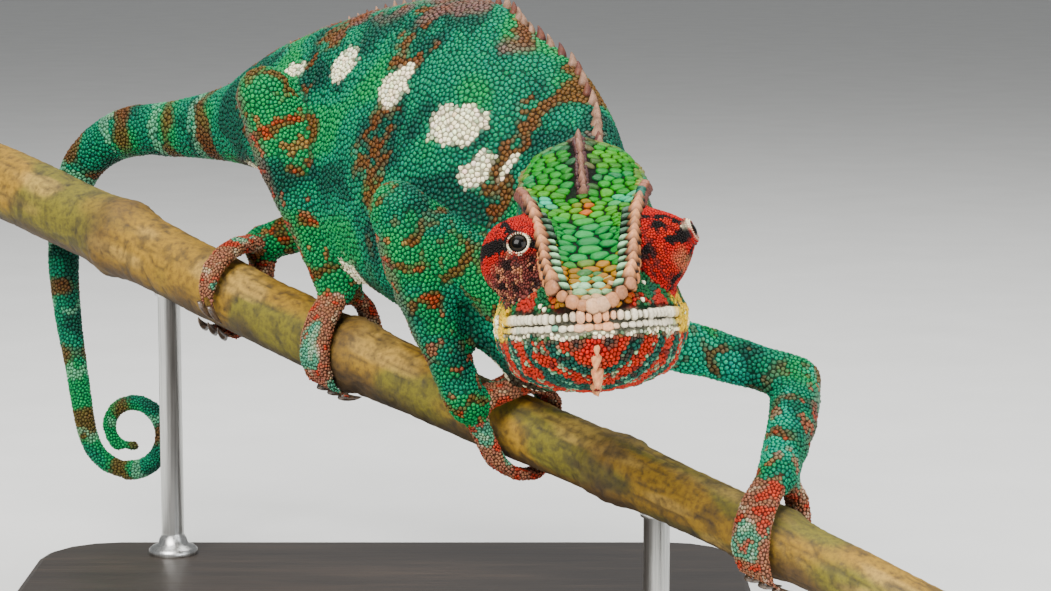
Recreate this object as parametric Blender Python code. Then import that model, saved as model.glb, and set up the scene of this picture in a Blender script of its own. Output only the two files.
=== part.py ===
"""Panther chameleon, life size, gripping a cut length of branch on a plain display stand.

Everything is drawn in millimetres in a drafting frame: X to the animal's left, Y from its
head toward its tail, Z up, with the origin just beside the right eye.  ROW turns drafting
millimetres into metres from the middle of the stand's underside.
"""
import math

import bmesh
import bpy
from mathutils import Matrix, Vector

MM = 0.001
GAP = 0.3
SLIT = 0.32
DOME_ANGLES = (35.0, 65.0)
SMALLEST_PIECE = 2.0e-8
CREASE_ANGLE = 35.0
STAND_FOOT = Vector((-28.8, 81.2, -86.0))
ROW = Matrix.Scale(MM, 4) @ Matrix.Translation(-STAND_FOOT)

# The head: its frame has X to the animal's left, Y backward, Z up, and the mouth lies level in it.
HEAD_CENTRE = Vector((10.3, 0.0, 8.0))
HEAD_PITCH = -8.0
HEAD_ROLL = -3.5
HEAD_YAW = -0.5
HEAD = (Matrix.Rotation(math.radians(HEAD_PITCH), 4, "X")
        @ Matrix.Translation(HEAD_CENTRE)
        @ Matrix.Rotation(math.radians(HEAD_ROLL), 4, "Y")
        @ Matrix.Rotation(math.radians(HEAD_YAW), 4, "Z"))
SNOUT_Y = -19.6
NAPE_Y = 37.0
HEAD_STATIONS = 20
HEAD_STATION_CROWDING = 1.15
MOUTH_Z = -12.3
MOUTH_CORNER_Y = 13.5
JAW_HINGE = Vector((0.0, 20.0, -30.0))
NECK_CUT_Y = 24.0
CASQUE_FRONT = Vector((0.0, -3.0, 7.4))
CASQUE_BACK = Vector((0.0, 33.6, 11.0))
RIM_WIDTH = 2.3
RIM_ROUNDING = 0.8
LIP_HALF_HEIGHT = 0.7
RIDGE_HALF_WIDTH = 1.7
HEAD_SLIT_WIDTH = 60.0
CHEST_SLIT_WIDTH = 90.0

# Head profiles: (distance back from the eyes, value) pairs, read as smooth curves.
CROWN_Z = ((-19.6, -9.8), (-17.0, -7.2), (-14.0, -4.7), (-8.0, -0.9), (0.0, 4.2), (5.0, 7.4),
           (12.0, 12.0), (20.0, 16.3), (28.0, 19.5), (31.5, 19.4), (34.0, 17.8), (37.0, 15.4))
RIDGE_RISE = ((3.0, 0.0), (7.0, 1.3), (28.0, 1.4), (32.0, 1.2), (35.0, 0.4))
CREST_WIDTH = ((-19.6, 3.4), (-18.8, 4.8), (-17.2, 6.4), (-14.0, 7.6), (-8.0, 8.1), (-2.0, 9.0), (5.0, 10.6),
               (12.0, 11.5), (20.0, 11.5), (28.0, 9.9), (33.0, 8.0), (37.0, 6.6))
CREST_Z = ((-19.6, -9.7), (-18.8, -8.5), (-17.2, -6.4), (-14.0, -3.4), (-8.0, 1.0), (-2.0, 5.4), (2.0, 8.2),
           (5.0, 9.7), (12.0, 10.8), (20.0, 12.8), (28.0, 15.2), (33.0, 14.0), (37.0, 10.5))
ORBIT_WIDTH = ((-19.6, 3.0), (-14.0, 6.8), (-8.0, 7.4), (0.0, 8.2), (7.0, 9.8), (13.0, 13.2),
               (22.0, 13.0), (30.0, 12.0), (37.0, 11.6))
ORBIT_Z = ((-19.6, -10.2), (-14.0, -6.6), (-8.0, -3.4), (0.0, 0.0), (8.0, 1.6), (37.0, 3.0))
CHEEK_WIDTH = ((-19.6, 3.0), (-17.0, 7.2), (-14.0, 9.2), (-8.0, 11.8), (0.0, 13.8), (8.0, 15.0),
               (14.0, 15.4), (22.0, 14.4), (30.0, 13.0), (37.0, 12.2))
CHEEK_Z = ((-19.6, -10.9), (-14.0, -9.4), (-8.0, -8.8), (10.0, -7.6), (37.0, -6.0))
LIP_WIDTH = ((-19.6, 3.0), (-18.4, 6.0), (-15.0, 9.4), (-10.0, 12.2), (-5.0, 14.1), (4.0, 16.0),
             (12.0, 16.8), (18.0, 16.0), (26.0, 14.0), (37.0, 12.2))
JAW_WIDTH = ((-19.6, 2.6), (-18.0, 5.6), (-15.0, 9.0), (-5.0, 13.8), (5.0, 15.7), (12.0, 16.4),
             (18.0, 15.6), (26.0, 14.0), (37.0, 12.0))
JAW_Z = ((-19.6, -14.0), (-16.0, -15.6), (0.0, -16.6), (37.0, -14.5))
THROAT_WIDTH = ((-19.6, 1.6), (-17.0, 4.2), (-14.0, 7.4), (-8.0, 10.8), (0.0, 12.9), (8.0, 13.6),
                (16.0, 13.2), (26.0, 12.0), (37.0, 10.0))
THROAT_SIDE_Z = ((-19.6, -14.8), (-16.0, -18.2), (-8.0, -20.3), (4.0, -21.3), (22.0, -20.6),
                 (37.0, -17.5))
THROAT_Z = ((-19.6, -15.2), (-17.6, -18.8), (-12.0, -22.2), (-5.0, -24.0), (5.0, -24.6),
            (14.0, -24.4), (22.0, -23.2), (37.0, -20.0))

# The eye turrets: a cone-shaped lid turned about the line of sight, its base ring at the centre.
TURRET_PROFILE = ((-5.6, 4.4), (-3.0, 7.1), (0.0, 8.05), (2.6, 7.3), (4.9, 5.6), (6.6, 3.9), (7.7, 2.7),
                  (8.2, 1.9))
TURRET_SIDES = 16
EYEBALL_RADIUS = 2.4
EYEBALL_DEPTH = 6.1
TURRET_RIGHT = (Vector((-10.7, -0.8, -1.2)), Vector((-0.09, -0.95, 0.31)))
TURRET_LEFT = (Vector((10.4, 0.6, -1.1)), Vector((0.905, -0.20, 0.36)))

# The body from the neck to the tail's tip: centre, height and width of each station, and how far
# its back leans to the animal's left, in degrees.
BODY_STATIONS = (
    ((11.0, 26.0, 3.0), 33.0, 20.0, 5.0),
    ((10.8, 36.6, 0.3), 41.2, 22.0, 6.0),
    ((8.0, 51.0, 1.2), 55.4, 26.0, 11.0),
    ((2.4, 61.8, 7.1), 60.8, 29.0, 14.0),
    ((-7.0, 70.4, 12.8), 63.0, 32.0, 15.0),
    ((-12.0, 78.9, 15.2), 64.0, 34.5, 15.0),
    ((-21.0, 90.2, 16.6), 61.0, 35.0, 14.0),
    ((-33.5, 106.6, 18.8), 49.0, 31.0, 11.0),
    ((-48.0, 126.1, 20.6), 31.0, 24.0, 6.0),
    ((-60.0, 141.8, 17.4), 20.0, 16.0, 0.0),
    ((-75.0, 156.5, 14.9), 14.8, 12.0, 0.0),
    ((-90.0, 168.4, 12.7), 12.4, 10.4, 0.0),
    ((-100.0, 173.3, 4.9), 10.8, 9.2, 0.0),
    ((-104.0, 172.0, -12.0), 9.0, 8.0, 0.0),
    ((-103.0, 168.6, -27.6), 7.6, 6.9, 0.0),
    ((-100.6, 165.2, -40.5), 6.4, 6.0, 0.0),
)
BODY_KEEL = 0.28
BODY_SIDES = 18
BODY_STEP = 7.0
UPRIGHT_FADE = 45.0
TAIL_SIDES = 10
TAIL_STEP = 4.6
NECK_END = Vector((12.5, 37.4, 2.0))
TRUNK_END = Vector((-60.0, 141.8, 17.4))
CURL_CENTRE = Vector((-88.0, 159.2, -52.6))
CURL_SIDE = Vector((0.975, -0.224, 0.0))
CURL_TURNS = 1.3
CURL_STEPS = 15
CURL_START_RADIUS = 10.6
CURL_END_RADIUS = 3.4
CURL_START_THICK = 5.6
CURL_END_THICK = 2.3
CURL_DRIFT = Vector((0.2, -1.6, 0.0))
TAIL_BREAKS = (("tail_root", 34.0), ("tail_middle", 68.0), ("tail_hook", 102.0), ("tail_hang", 128.0))
SPINE_PITCH = 3.9
SPINE_RADIUS = 0.95
SPINE_HEIGHT = 2.1
SPINE_LEAST_HEIGHT = 0.9
SPINE_FADE = 0.55
SPINE_ROOT = 0.9
SPINE_COUNT = 32
CHIN_SPINE_COUNT = 7
CHIN_SPINE_START = -15.6
CHIN_SPINE_PITCH = 2.5
CHIN_SPINE_HEIGHT = 3.2
CHIN_SPINE_FADE = 0.18
CHIN_SPINE_RADIUS = 0.9
CHIN_SPINE_LEAN = Vector((0.0, -0.35, -1.0))
SPINE_SIDES = 5

# Limbs: root inside the body, middle joint, end joint, and the radius at each.
LIMBS = {
    "arm_right": ((4.0, 47.0, -12.0), (-23.6, 51.8, 8.8), (-10.9, 50.6, -27.4), (6.6, 6.0, 4.4)),
    "arm_left": ((17.0, 42.6, -12.8), (49.5, 43.4, -21.6), (43.8, 19.6, -35.0), (5.4, 4.9, 4.2)),
    "leg_right": ((-48.0, 121.0, 17.0), (-51.5, 96.8, 26.4), (-37.0, 93.0, -11.2), (8.6, 6.8, 5.0)),
    "leg_left": ((-43.0, 127.5, 16.0), (-22.0, 119.9, 5.4), (-55.6, 124.4, -6.6), (7.2, 5.8, 4.4)),
}
LIMB_SIDES = 8
LIMB_STEPS = 4
UPPER_BELLY = 0.6
LOWER_BELLY = 0.8
UPPER_NAMES = {"arm": "arm_upper", "leg": "thigh"}
LOWER_NAMES = {"arm": "arm_fore", "leg": "shank"}
FOOT_NAMES = {"arm": "hand", "leg": "foot"}

# A foot grips with two opposed bundles of fused toes: the arm has 3 inner and 2 outer toes, the
# leg 2 inner and 3 outer.  The side is that of the branch, +1 behind it and -1 in front.
FOOT_SIDES = {"arm_right": 1, "arm_left": -1, "leg_right": 1, "leg_left": -1}
INNER_TOES = {"arm": 3, "leg": 2}
TOE_SKEW = {-1: -6.0, 1: -2.0}
TOE_TURN = ((0.3, 26.0, 1.3), (0.5, 58.0, 0.3), (0.75, 96.0, 0.0), (1.0, 132.0, -0.1), (1.1, 150.0, -0.9))
TOE_PROFILE = ((0.0, 2.3), (0.35, 2.05), (0.6, 1.75), (0.8, 1.4), (0.9, 0.85), (1.0, 0.4))
TOE_RADIUS = 1.75
TOE_PITCH = 2.7
TOE_ROOT_PITCH = 1.1
TOE_ROOT_BACK = 0.6
PALM_BLOCK = 30.0
TOE_SIDES = 5
TOE_STEPS = 6

# The branch, its stations with a thickness and the way its knots swell, and the stand.
BRANCH_FRONT = Vector((69.5, -5.5, -54.5))
BRANCH_BACK = Vector((-125.0, 176.5, 3.5))
BRANCH_FRONT_RADIUS = 5.4
BRANCH_BACK_RADIUS = 8.4
BRANCH_SWAY = 0.9
BRANCH_SWAY_WAVES = 1.4
BRANCH_FLATTENING = 0.96
BRANCH_SIDES = 10
BRANCH_STEPS = 23
KNOTS = ((0.135, 1.0), (0.27, 0.7), (0.53, 0.8), (0.80, 1.1))
KNOT_SPREAD = 0.018
PLATE_LENGTH = 150.0
PLATE_DEPTH = 122.0
PLATE_THICKNESS = 12.0
PLATE_CORNER = 16.0
PLATE_EDGE = 1.6
ROD_RADIUS = 2.5
ROD_SEAT = 6.0
ROD_BITE = 2.6
ROD_FRACTIONS = {"stand_rod_front": 0.235, "stand_rod_back": 0.745}

COLOURS = {
    "green": ((0.02, 0.42, 0.24, 1.0), 0.55, 0.0),
    "teal": ((0.0, 0.27, 0.22, 1.0), 0.55, 0.0),
    "red": ((0.60, 0.05, 0.03, 1.0), 0.55, 0.0),
    "throat": ((0.62, 0.12, 0.04, 1.0), 0.55, 0.0),
    "foot": ((0.50, 0.22, 0.17, 1.0), 0.60, 0.0),
    "eye": ((0.01, 0.008, 0.006, 1.0), 0.08, 0.0),
    "wood": ((0.42, 0.26, 0.06, 1.0), 0.75, 0.0),
    "plate": ((0.03, 0.03, 0.03, 1.0), 0.45, 0.0),
    "steel": ((0.60, 0.60, 0.60, 1.0), 0.30, 1.0),
}


def collection(name):
    """A new collection linked into the scene."""
    group = bpy.data.collections.new(name)
    bpy.context.scene.collection.children.link(group)
    return group


def finish(name):
    """The Principled material of one named finish."""
    colour, roughness, metallic = COLOURS[name]
    material = bpy.data.materials.new(name)
    material.use_nodes = True
    shader = material.node_tree.nodes["Principled BSDF"]
    shader.inputs["Base Color"].default_value = colour
    shader.inputs["Roughness"].default_value = roughness
    shader.inputs["Metallic"].default_value = metallic
    return material


def spline(knots, at):
    """Smooth value through (position, value) knots, held level beyond both ends."""
    if at <= knots[0][0]:
        return knots[0][1]
    if at >= knots[-1][0]:
        return knots[-1][1]
    i = 0
    while at > knots[i + 1][0]:
        i += 1
    start, first = knots[i]
    end, second = knots[i + 1]
    before = knots[max(i - 1, 0)]
    after = knots[min(i + 2, len(knots) - 1)]
    span = end - start
    slope_in = (second - before[1]) * (span / (end - before[0]))
    slope_out = (after[1] - first) * (span / (after[0] - start))
    t = (at - start) / span
    return (first * (2 * t ** 3 - 3 * t ** 2 + 1) + slope_in * (t ** 3 - 2 * t ** 2 + t)
            + second * (3 * t ** 2 - 2 * t ** 3) + slope_out * (t ** 3 - t ** 2))


def route(points):
    """Knots of a smooth line through points, each at its run length from the start."""
    knots = [(0.0, Vector(points[0]))]
    for point in points[1:]:
        step = (Vector(point) - knots[-1][1]).length
        knots.append((knots[-1][0] + step, Vector(point)))
    return knots


def run_at(knots, target):
    """Run length at which the line passes nearest to a target point."""
    samples = int(knots[-1][0] / 0.5)
    runs = [knots[-1][0] * i / samples for i in range(samples + 1)]
    return min(runs, key=lambda run: (spline(knots, run) - target).length)


def frames(knots, runs, side, upright=None):
    """Centre, sideways and upright axes at each run, turned as little as the line allows.

    The sections stand plumb where the upright share is 1 and square to the line where it is 0.
    """
    placed = []
    for run in runs:
        tangent = spline(knots, run + 0.4) - spline(knots, run - 0.4)
        if upright:
            tangent.z *= 1.0 - spline(upright, run)
        tangent.normalize()
        side = (side - tangent * side.dot(tangent)).normalized()
        placed.append((spline(knots, run), side.copy(), side.cross(tangent)))
    return placed


def ellipse_ring(frame, half_width, half_height, sides, keel=0.0):
    """Points round one station; a keel above 0 narrows the top and fills the lower half."""
    centre, side, lift = frame
    ring = []
    for i in range(sides):
        angle = math.tau * i / sides
        reach = math.cos(angle) * (1.0 - keel * math.sin(angle))
        ring.append(centre + side * (half_width * reach) + lift * (half_height * math.sin(angle)))
    return ring


def middle(ring):
    """Mean point of a ring."""
    return sum(ring, Vector((0.0, 0.0, 0.0))) / len(ring)


def round_end(ring, neighbour):
    """Shrinking rings that close an end like a dome, given the ring next to it."""
    centre = middle(ring)
    outward = (centre - middle(neighbour)).normalized()
    radius = sum((point - centre).length for point in ring) / len(ring)
    dome = []
    for degrees in DOME_ANGLES:
        rise = outward * (radius * math.sin(math.radians(degrees)))
        shrink = math.cos(math.radians(degrees))
        dome.append([centre + rise + (point - centre) * shrink for point in ring])
    return dome


def new_object(name, mesh_builder, group):
    """Object from a bmesh drawn in drafting millimetres, moved to the row's metres."""
    bmesh.ops.transform(mesh_builder, matrix=ROW, verts=mesh_builder.verts)
    bmesh.ops.recalc_face_normals(mesh_builder, faces=mesh_builder.faces)
    mesh = bpy.data.meshes.new(name)
    mesh_builder.to_mesh(mesh)
    mesh_builder.free()
    made = bpy.data.objects.new(name, mesh)
    group.objects.link(made)
    return made


def loft(name, rings, group, domed_start=False, domed_end=False):
    """Closed solid through rings of equal point counts."""
    if domed_start:
        rings = list(reversed(round_end(rings[0], rings[1]))) + rings
    if domed_end:
        rings = rings + round_end(rings[-1], rings[-2])
    builder = bmesh.new()
    rows = [[builder.verts.new(point) for point in ring] for ring in rings]
    for near, far in zip(rows, rows[1:]):
        for i in range(len(near)):
            j = (i + 1) % len(near)
            builder.faces.new((near[i], near[j], far[j], far[i]))
    for row, ring in ((rows[0], rings[0]), (rows[-1], rings[-1])):
        hub = builder.verts.new(middle(ring))
        for i in range(len(row)):
            builder.faces.new((row[i], row[(i + 1) % len(row)], hub))
    return new_object(name, builder, group)


def tube(name, points, radii, group, steps, sides, side=Vector((1.0, 0.0, 0.0))):
    """Round-ended solid along a smooth line; radii are (fraction, radius) knots."""
    knots = route(points)
    runs = [knots[-1][0] * i / steps for i in range(steps + 1)]
    rings = []
    for i, frame in enumerate(frames(knots, runs, side)):
        radius = spline(radii, i / steps)
        rings.append(ellipse_ring(frame, radius, radius, sides))
    return loft(name, rings, group, domed_start=True, domed_end=True)


def bake(part):
    """Keep the evaluated mesh in place of the modifiers."""
    bpy.context.view_layer.update()
    graph = bpy.context.evaluated_depsgraph_get()
    part.data = bpy.data.meshes.new_from_object(part.evaluated_get(graph))
    part.modifiers.clear()


def islands(builder):
    """Groups of connected faces."""
    left = set(builder.faces)
    groups = []
    while left:
        front = [left.pop()]
        group = set(front)
        while front:
            face = front.pop()
            for edge in face.edges:
                for other in edge.link_faces:
                    if other in left:
                        left.remove(other)
                        group.add(other)
                        front.append(other)
        groups.append(group)
    return groups


def volume(faces):
    """Volume enclosed by a closed group of faces."""
    total = 0.0
    for face in faces:
        corners = [vert.co for vert in face.verts]
        for i in range(1, len(corners) - 1):
            total += corners[0].dot(corners[i].cross(corners[i + 1])) / 6.0
    return abs(total)


def keep_islands(part, wanted):
    """Drop every face whose island is not wanted; wanted takes the list of islands."""
    builder = bmesh.new()
    builder.from_mesh(part.data)
    kept = set(wanted(islands(builder)))
    bmesh.ops.delete(builder, geom=[face for face in builder.faces if face not in kept], context="FACES")
    builder.to_mesh(part.data)
    builder.free()


def largest(groups):
    """The island with the most volume."""
    return max(groups, key=volume)


def boolean(part, tool, operation):
    """Combine a part with a tool and keep the result."""
    modifier = part.modifiers.new(operation.lower(), "BOOLEAN")
    modifier.operation = operation
    modifier.solver = "EXACT"
    modifier.object = tool
    bake(part)


def grown(part, margin, cutters):
    """Copy of a part grown by a margin, for cutting clearance into its neighbours."""
    builder = bmesh.new()
    builder.from_mesh(part.data)
    bmesh.ops.triangulate(builder, faces=builder.faces)
    builder.normal_update()
    shifts = [vert.normal * (margin * MM) for vert in builder.verts]
    for vert, shift in zip(builder.verts, shifts):
        vert.co += shift
    mesh = bpy.data.meshes.new(part.name + "_clearance")
    builder.to_mesh(mesh)
    builder.free()
    tool = bpy.data.objects.new(mesh.name, mesh)
    tool.hide_render = True
    tool.display_type = "WIRE"
    cutters.objects.link(tool)
    return tool


def clear_of(part, neighbours, cutters, margin=GAP):
    """Cut a part back so that it stays a gap clear of each neighbour."""
    for neighbour in neighbours:
        boolean(part, grown(neighbour, margin, cutters), "DIFFERENCE")
    keep_islands(part, largest)


def block(name, centre, axes, size, cutters):
    """Box-shaped cutter about a centre, its edges along three axes."""
    builder = bmesh.new()
    bmesh.ops.create_cube(builder, size=1.0)
    turn = Matrix(axes).transposed().to_4x4()
    matrix = Matrix.Translation(centre) @ turn @ Matrix.Diagonal((*size, 1.0))
    bmesh.ops.transform(builder, matrix=matrix, verts=builder.verts)
    tool = new_object(name, builder, cutters)
    tool.hide_render = True
    tool.display_type = "WIRE"
    return tool


def head_slit(name, near, far, cutters):
    """Thin cutter right across the head, spanning from one line to another of the head's frame."""
    run = far - near
    turn = HEAD.to_3x3()
    across = Vector((1.0, 0.0, 0.0))
    along = run.normalized()
    axes = (turn @ across, turn @ along, turn @ across.cross(along))
    return block(name, HEAD @ ((near + far) / 2.0), axes, (HEAD_SLIT_WIDTH, run.length, SLIT), cutters)


def spikes(name, seats, sides, group):
    """Small cones in one object; each seat is a base centre, a direction, a radius and a height."""
    builder = bmesh.new()
    for base, direction, radius, height in seats:
        turn = direction.to_track_quat("Z", "Y").to_matrix().to_4x4()
        matrix = Matrix.Translation(base + direction * (height / 2.0)) @ turn
        bmesh.ops.create_cone(builder, cap_ends=True, segments=sides, radius1=radius,
                              radius2=0.0, depth=height, matrix=matrix)
    return new_object(name, builder, group)


def head_ring(y):
    """Section across the head at one distance back from the eyes, bottom centre first."""
    crown = spline(CROWN_Z, y)
    crest = spline(CREST_WIDTH, y)
    crest_z = spline(CREST_Z, y)
    throat = spline(THROAT_WIDTH, y)
    throat_z = spline(THROAT_Z, y)
    throat_side = spline(THROAT_SIDE_Z, y)
    lip = spline(LIP_WIDTH, y)
    inner = max(crest - RIM_WIDTH, crest * 0.5)
    half = [
        (throat * 0.52, throat_z + (throat_side - throat_z) * 0.22),
        (throat, throat_side),
        (spline(JAW_WIDTH, y), spline(JAW_Z, y)),
        (lip, MOUTH_Z - LIP_HALF_HEIGHT),
        (lip, MOUTH_Z + LIP_HALF_HEIGHT),
        (spline(CHEEK_WIDTH, y), spline(CHEEK_Z, y)),
        (spline(ORBIT_WIDTH, y), spline(ORBIT_Z, y)),
        (crest - RIM_ROUNDING, crest_z - RIM_WIDTH * 0.8),
        (crest, crest_z - RIM_ROUNDING / 2.0),
        (crest - RIM_ROUNDING, crest_z),
        (inner, crown + (crest_z - crown) * 0.45),
        (crest * 0.42, crown + (crest_z - crown) * 0.12),
        (RIDGE_HALF_WIDTH, crown),
    ]
    left = [Vector((x, y, z)) for x, z in half]
    right = [Vector((-x, y, z)) for x, z in reversed(half)]
    top = Vector((0.0, y, crown + spline(RIDGE_RISE, y)))
    return [Vector((0.0, y, throat_z))] + left + [top] + right


def head_hull(group):
    """The whole head as one closed body, from the snout to the nape."""
    rings = []
    for i in range(HEAD_STATIONS + 1):
        share = i / HEAD_STATIONS
        y = SNOUT_Y + (NAPE_Y - SNOUT_Y) * share ** HEAD_STATION_CROWDING
        rings.append([HEAD @ point for point in head_ring(y)])
    return loft("whole", rings, group)


def body_line():
    """Run knots of the body's centre line, with its half height and half width along it."""
    points = [Vector(centre) for centre, _, _, _ in BODY_STATIONS]
    heights = [height / 2.0 for _, height, _, _ in BODY_STATIONS]
    widths = [width / 2.0 for _, _, width, _ in BODY_STATIONS]
    leans = [math.radians(lean) for _, _, _, lean in BODY_STATIONS]
    for i in range(CURL_STEPS + 1):
        share = i / CURL_STEPS
        angle = math.pi + math.tau * CURL_TURNS * share
        radius = CURL_START_RADIUS + (CURL_END_RADIUS - CURL_START_RADIUS) * share
        points.append(CURL_CENTRE + CURL_SIDE * (radius * math.cos(angle))
                      + Vector((0.0, 0.0, radius * math.sin(angle))) + CURL_DRIFT * (CURL_TURNS * share))
        thick = CURL_START_THICK + (CURL_END_THICK - CURL_START_THICK) * share
        heights.append(thick / 2.0)
        widths.append(thick / 2.0)
        leans.append(0.0)
    line = route(points)
    sizes = [[(knot[0], value) for knot, value in zip(line, values)] for values in (heights, widths, leans)]
    return line, sizes


def body_frames(first, last, count):
    """Runs along the body's centre line and the frame of its section at each of them."""
    line, (_, _, leans) = body_line()
    trunk_end = run_at(line, TRUNK_END)
    upright = ((trunk_end - UPRIGHT_FADE, 1.0), (trunk_end, 0.0))
    lead = [first * i / 40.0 for i in range(40)]
    runs = [first + (last - first) * i / count for i in range(count + 1)]
    placed = frames(line, lead + runs, Vector((1.0, 0.0, 0.0)), upright)[len(lead):]
    leaning = []
    for run, (centre, side, lift) in zip(runs, placed):
        lean = spline(leans, run)
        tilted = lift * math.cos(lean) + side * math.sin(lean)
        leaning.append((centre, side * math.cos(lean) - lift * math.sin(lean), tilted))
    return runs, leaning


def body_rings(first, last, step, sides):
    """Sections of the body between two runs along its centre line."""
    line, (half_heights, half_widths, _) = body_line()
    trunk_end = run_at(line, TRUNK_END)
    rings = []
    for run, frame in zip(*body_frames(first, last, max(2, round((last - first) / step)))):
        keel = BODY_KEEL * max(0.0, 1.0 - run / trunk_end)
        rings.append(ellipse_ring(frame, spline(half_widths, run), spline(half_heights, run), sides, keel))
    return rings


def ridge_spines(group):
    """The row of small cones down the back, from the nape to the root of the tail."""
    line, (half_heights, _, _) = body_line()
    start = run_at(line, NECK_END) + 2.0
    runs, placed = body_frames(start, start + SPINE_PITCH * (SPINE_COUNT - 1), SPINE_COUNT - 1)
    seats = []
    for i, (centre, _, lift) in enumerate(placed):
        fade = 1.0 - SPINE_FADE * i / SPINE_COUNT
        base = centre + lift * (spline(half_heights, runs[i]) - SPINE_ROOT)
        radius = SPINE_RADIUS * (0.6 + 0.4 * fade)
        seats.append((base, lift, radius, SPINE_LEAST_HEIGHT + SPINE_HEIGHT * fade))
    return spikes("ridge_spines", seats, SPINE_SIDES, group)


def chin_spines(group):
    """The soft cones of the gular crest under the chin."""
    seats = []
    for i in range(CHIN_SPINE_COUNT):
        y = CHIN_SPINE_START + CHIN_SPINE_PITCH * i
        base = Vector((0.0, y, spline(THROAT_Z, y) + SPINE_ROOT))
        height = CHIN_SPINE_HEIGHT - CHIN_SPINE_FADE * i
        lean = (HEAD.to_3x3() @ CHIN_SPINE_LEAN).normalized()
        seats.append((HEAD @ base, lean, CHIN_SPINE_RADIUS, height))
    return spikes("chin_spines", seats, SPINE_SIDES, group)


def name_islands(part, centres, group):
    """Split a body at its cuts and name each piece by the centre it lies nearest to."""
    pieces = {}
    for name, centre in centres.items():
        piece = part.copy()
        piece.data = part.data.copy()
        piece.name = name
        group.objects.link(piece)
        target = ROW @ centre

        def wanted(groups, target=target):
            solid = [found for found in groups if volume(found) > SMALLEST_PIECE]
            return min(solid, key=lambda found: (island_centre(found) - target).length)

        keep_islands(piece, wanted)
        pieces[name] = piece
    return pieces


def island_centre(faces):
    """Area-weighted centre of a group of faces."""
    total = sum(face.calc_area() for face in faces)
    return sum((face.calc_center_median() * face.calc_area() for face in faces), Vector()) / total


def turret(name, eye_name, placing, hull, group, cutters):
    """One eye turret, seated on the skull, with the eyeball let into its tip."""
    base, sight = placing
    sight = sight.normalized()
    side = sight.orthogonal().normalized()
    lift = side.cross(sight)
    rings = []
    for along, radius in TURRET_PROFILE:
        frame = (base + sight * along, side, lift)
        rings.append([HEAD @ point for point in ellipse_ring(frame, radius, radius, TURRET_SIDES)])
    lid = loft(name, rings, group)
    builder = bmesh.new()
    centre = HEAD @ (base + sight * EYEBALL_DEPTH)
    bmesh.ops.create_uvsphere(builder, u_segments=12, v_segments=6, radius=EYEBALL_RADIUS)
    turn = (HEAD.to_3x3() @ sight).to_track_quat("Z", "Y").to_matrix().to_4x4()
    bmesh.ops.transform(builder, matrix=Matrix.Translation(centre) @ turn, verts=builder.verts)
    eye = new_object(eye_name, builder, group)
    clear_of(lid, [hull, eye], cutters)
    return lid, eye


def branch_axis(share):
    """Point on the branch's gently swaying axis, at a share of its length."""
    straight = BRANCH_FRONT.lerp(BRANCH_BACK, share)
    sway = Vector((0.0, 0.35, 1.0)) * (BRANCH_SWAY * math.sin(math.tau * BRANCH_SWAY_WAVES * share))
    return straight + sway


def branch_radius(share):
    """Radius of the branch at a share of its length, with its knots."""
    plain = BRANCH_FRONT_RADIUS + (BRANCH_BACK_RADIUS - BRANCH_FRONT_RADIUS) * share
    return plain + sum(swell * math.exp(-((share - at) / KNOT_SPREAD) ** 2) for at, swell in KNOTS)


def perch(group):
    """The cut length of branch."""
    shares = [i / BRANCH_STEPS for i in range(BRANCH_STEPS + 1)]
    knots = [(float(i), branch_axis(share)) for i, share in enumerate(shares)]
    rings = []
    placed = frames(knots, [at for at, _ in knots], Vector((0.7, 0.7, 0.0)))
    for share, frame in zip(shares, placed):
        radius = branch_radius(share)
        rings.append(ellipse_ring(frame, radius, radius * BRANCH_FLATTENING, BRANCH_SIDES))
    return loft("perch_branch", rings, group)


def limb(key, joints, torso, group, cutters):
    """Upper and lower lengths of one limb; returns them upper first."""
    root, bend, end, radii = joints
    kind, side = key.split("_")
    root = Vector(root)
    bend = Vector(bend)
    end = Vector(end)
    thick_root, thick_bend, thick_end = radii
    belly = root.lerp(bend, 0.45) + Vector((0.0, 0.0, UPPER_BELLY))
    upper = tube(UPPER_NAMES[kind] + "_" + side, (root, belly, bend),
                 ((0.0, thick_root), (0.45, thick_root * 0.98), (0.8, thick_bend * 0.95), (1.0, thick_bend)),
                 group, LIMB_STEPS, LIMB_SIDES)
    calf = bend.lerp(end, 0.4) + (bend - root).normalized() * LOWER_BELLY
    lower = tube(LOWER_NAMES[kind] + "_" + side, (bend, calf, end),
                 ((0.0, thick_bend * 0.96), (0.35, thick_bend * 1.05), (0.8, thick_end * 1.05),
                  (1.0, thick_end)), group, LIMB_STEPS, LIMB_SIDES)
    clear_of(upper, torso, cutters)
    clear_of(lower, torso + [upper], cutters)
    return upper, lower


def branch_share(point):
    """Share of the branch's length nearest to a point."""
    along = BRANCH_BACK - BRANCH_FRONT
    return (point - BRANCH_FRONT).dot(along) / along.length_squared


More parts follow.
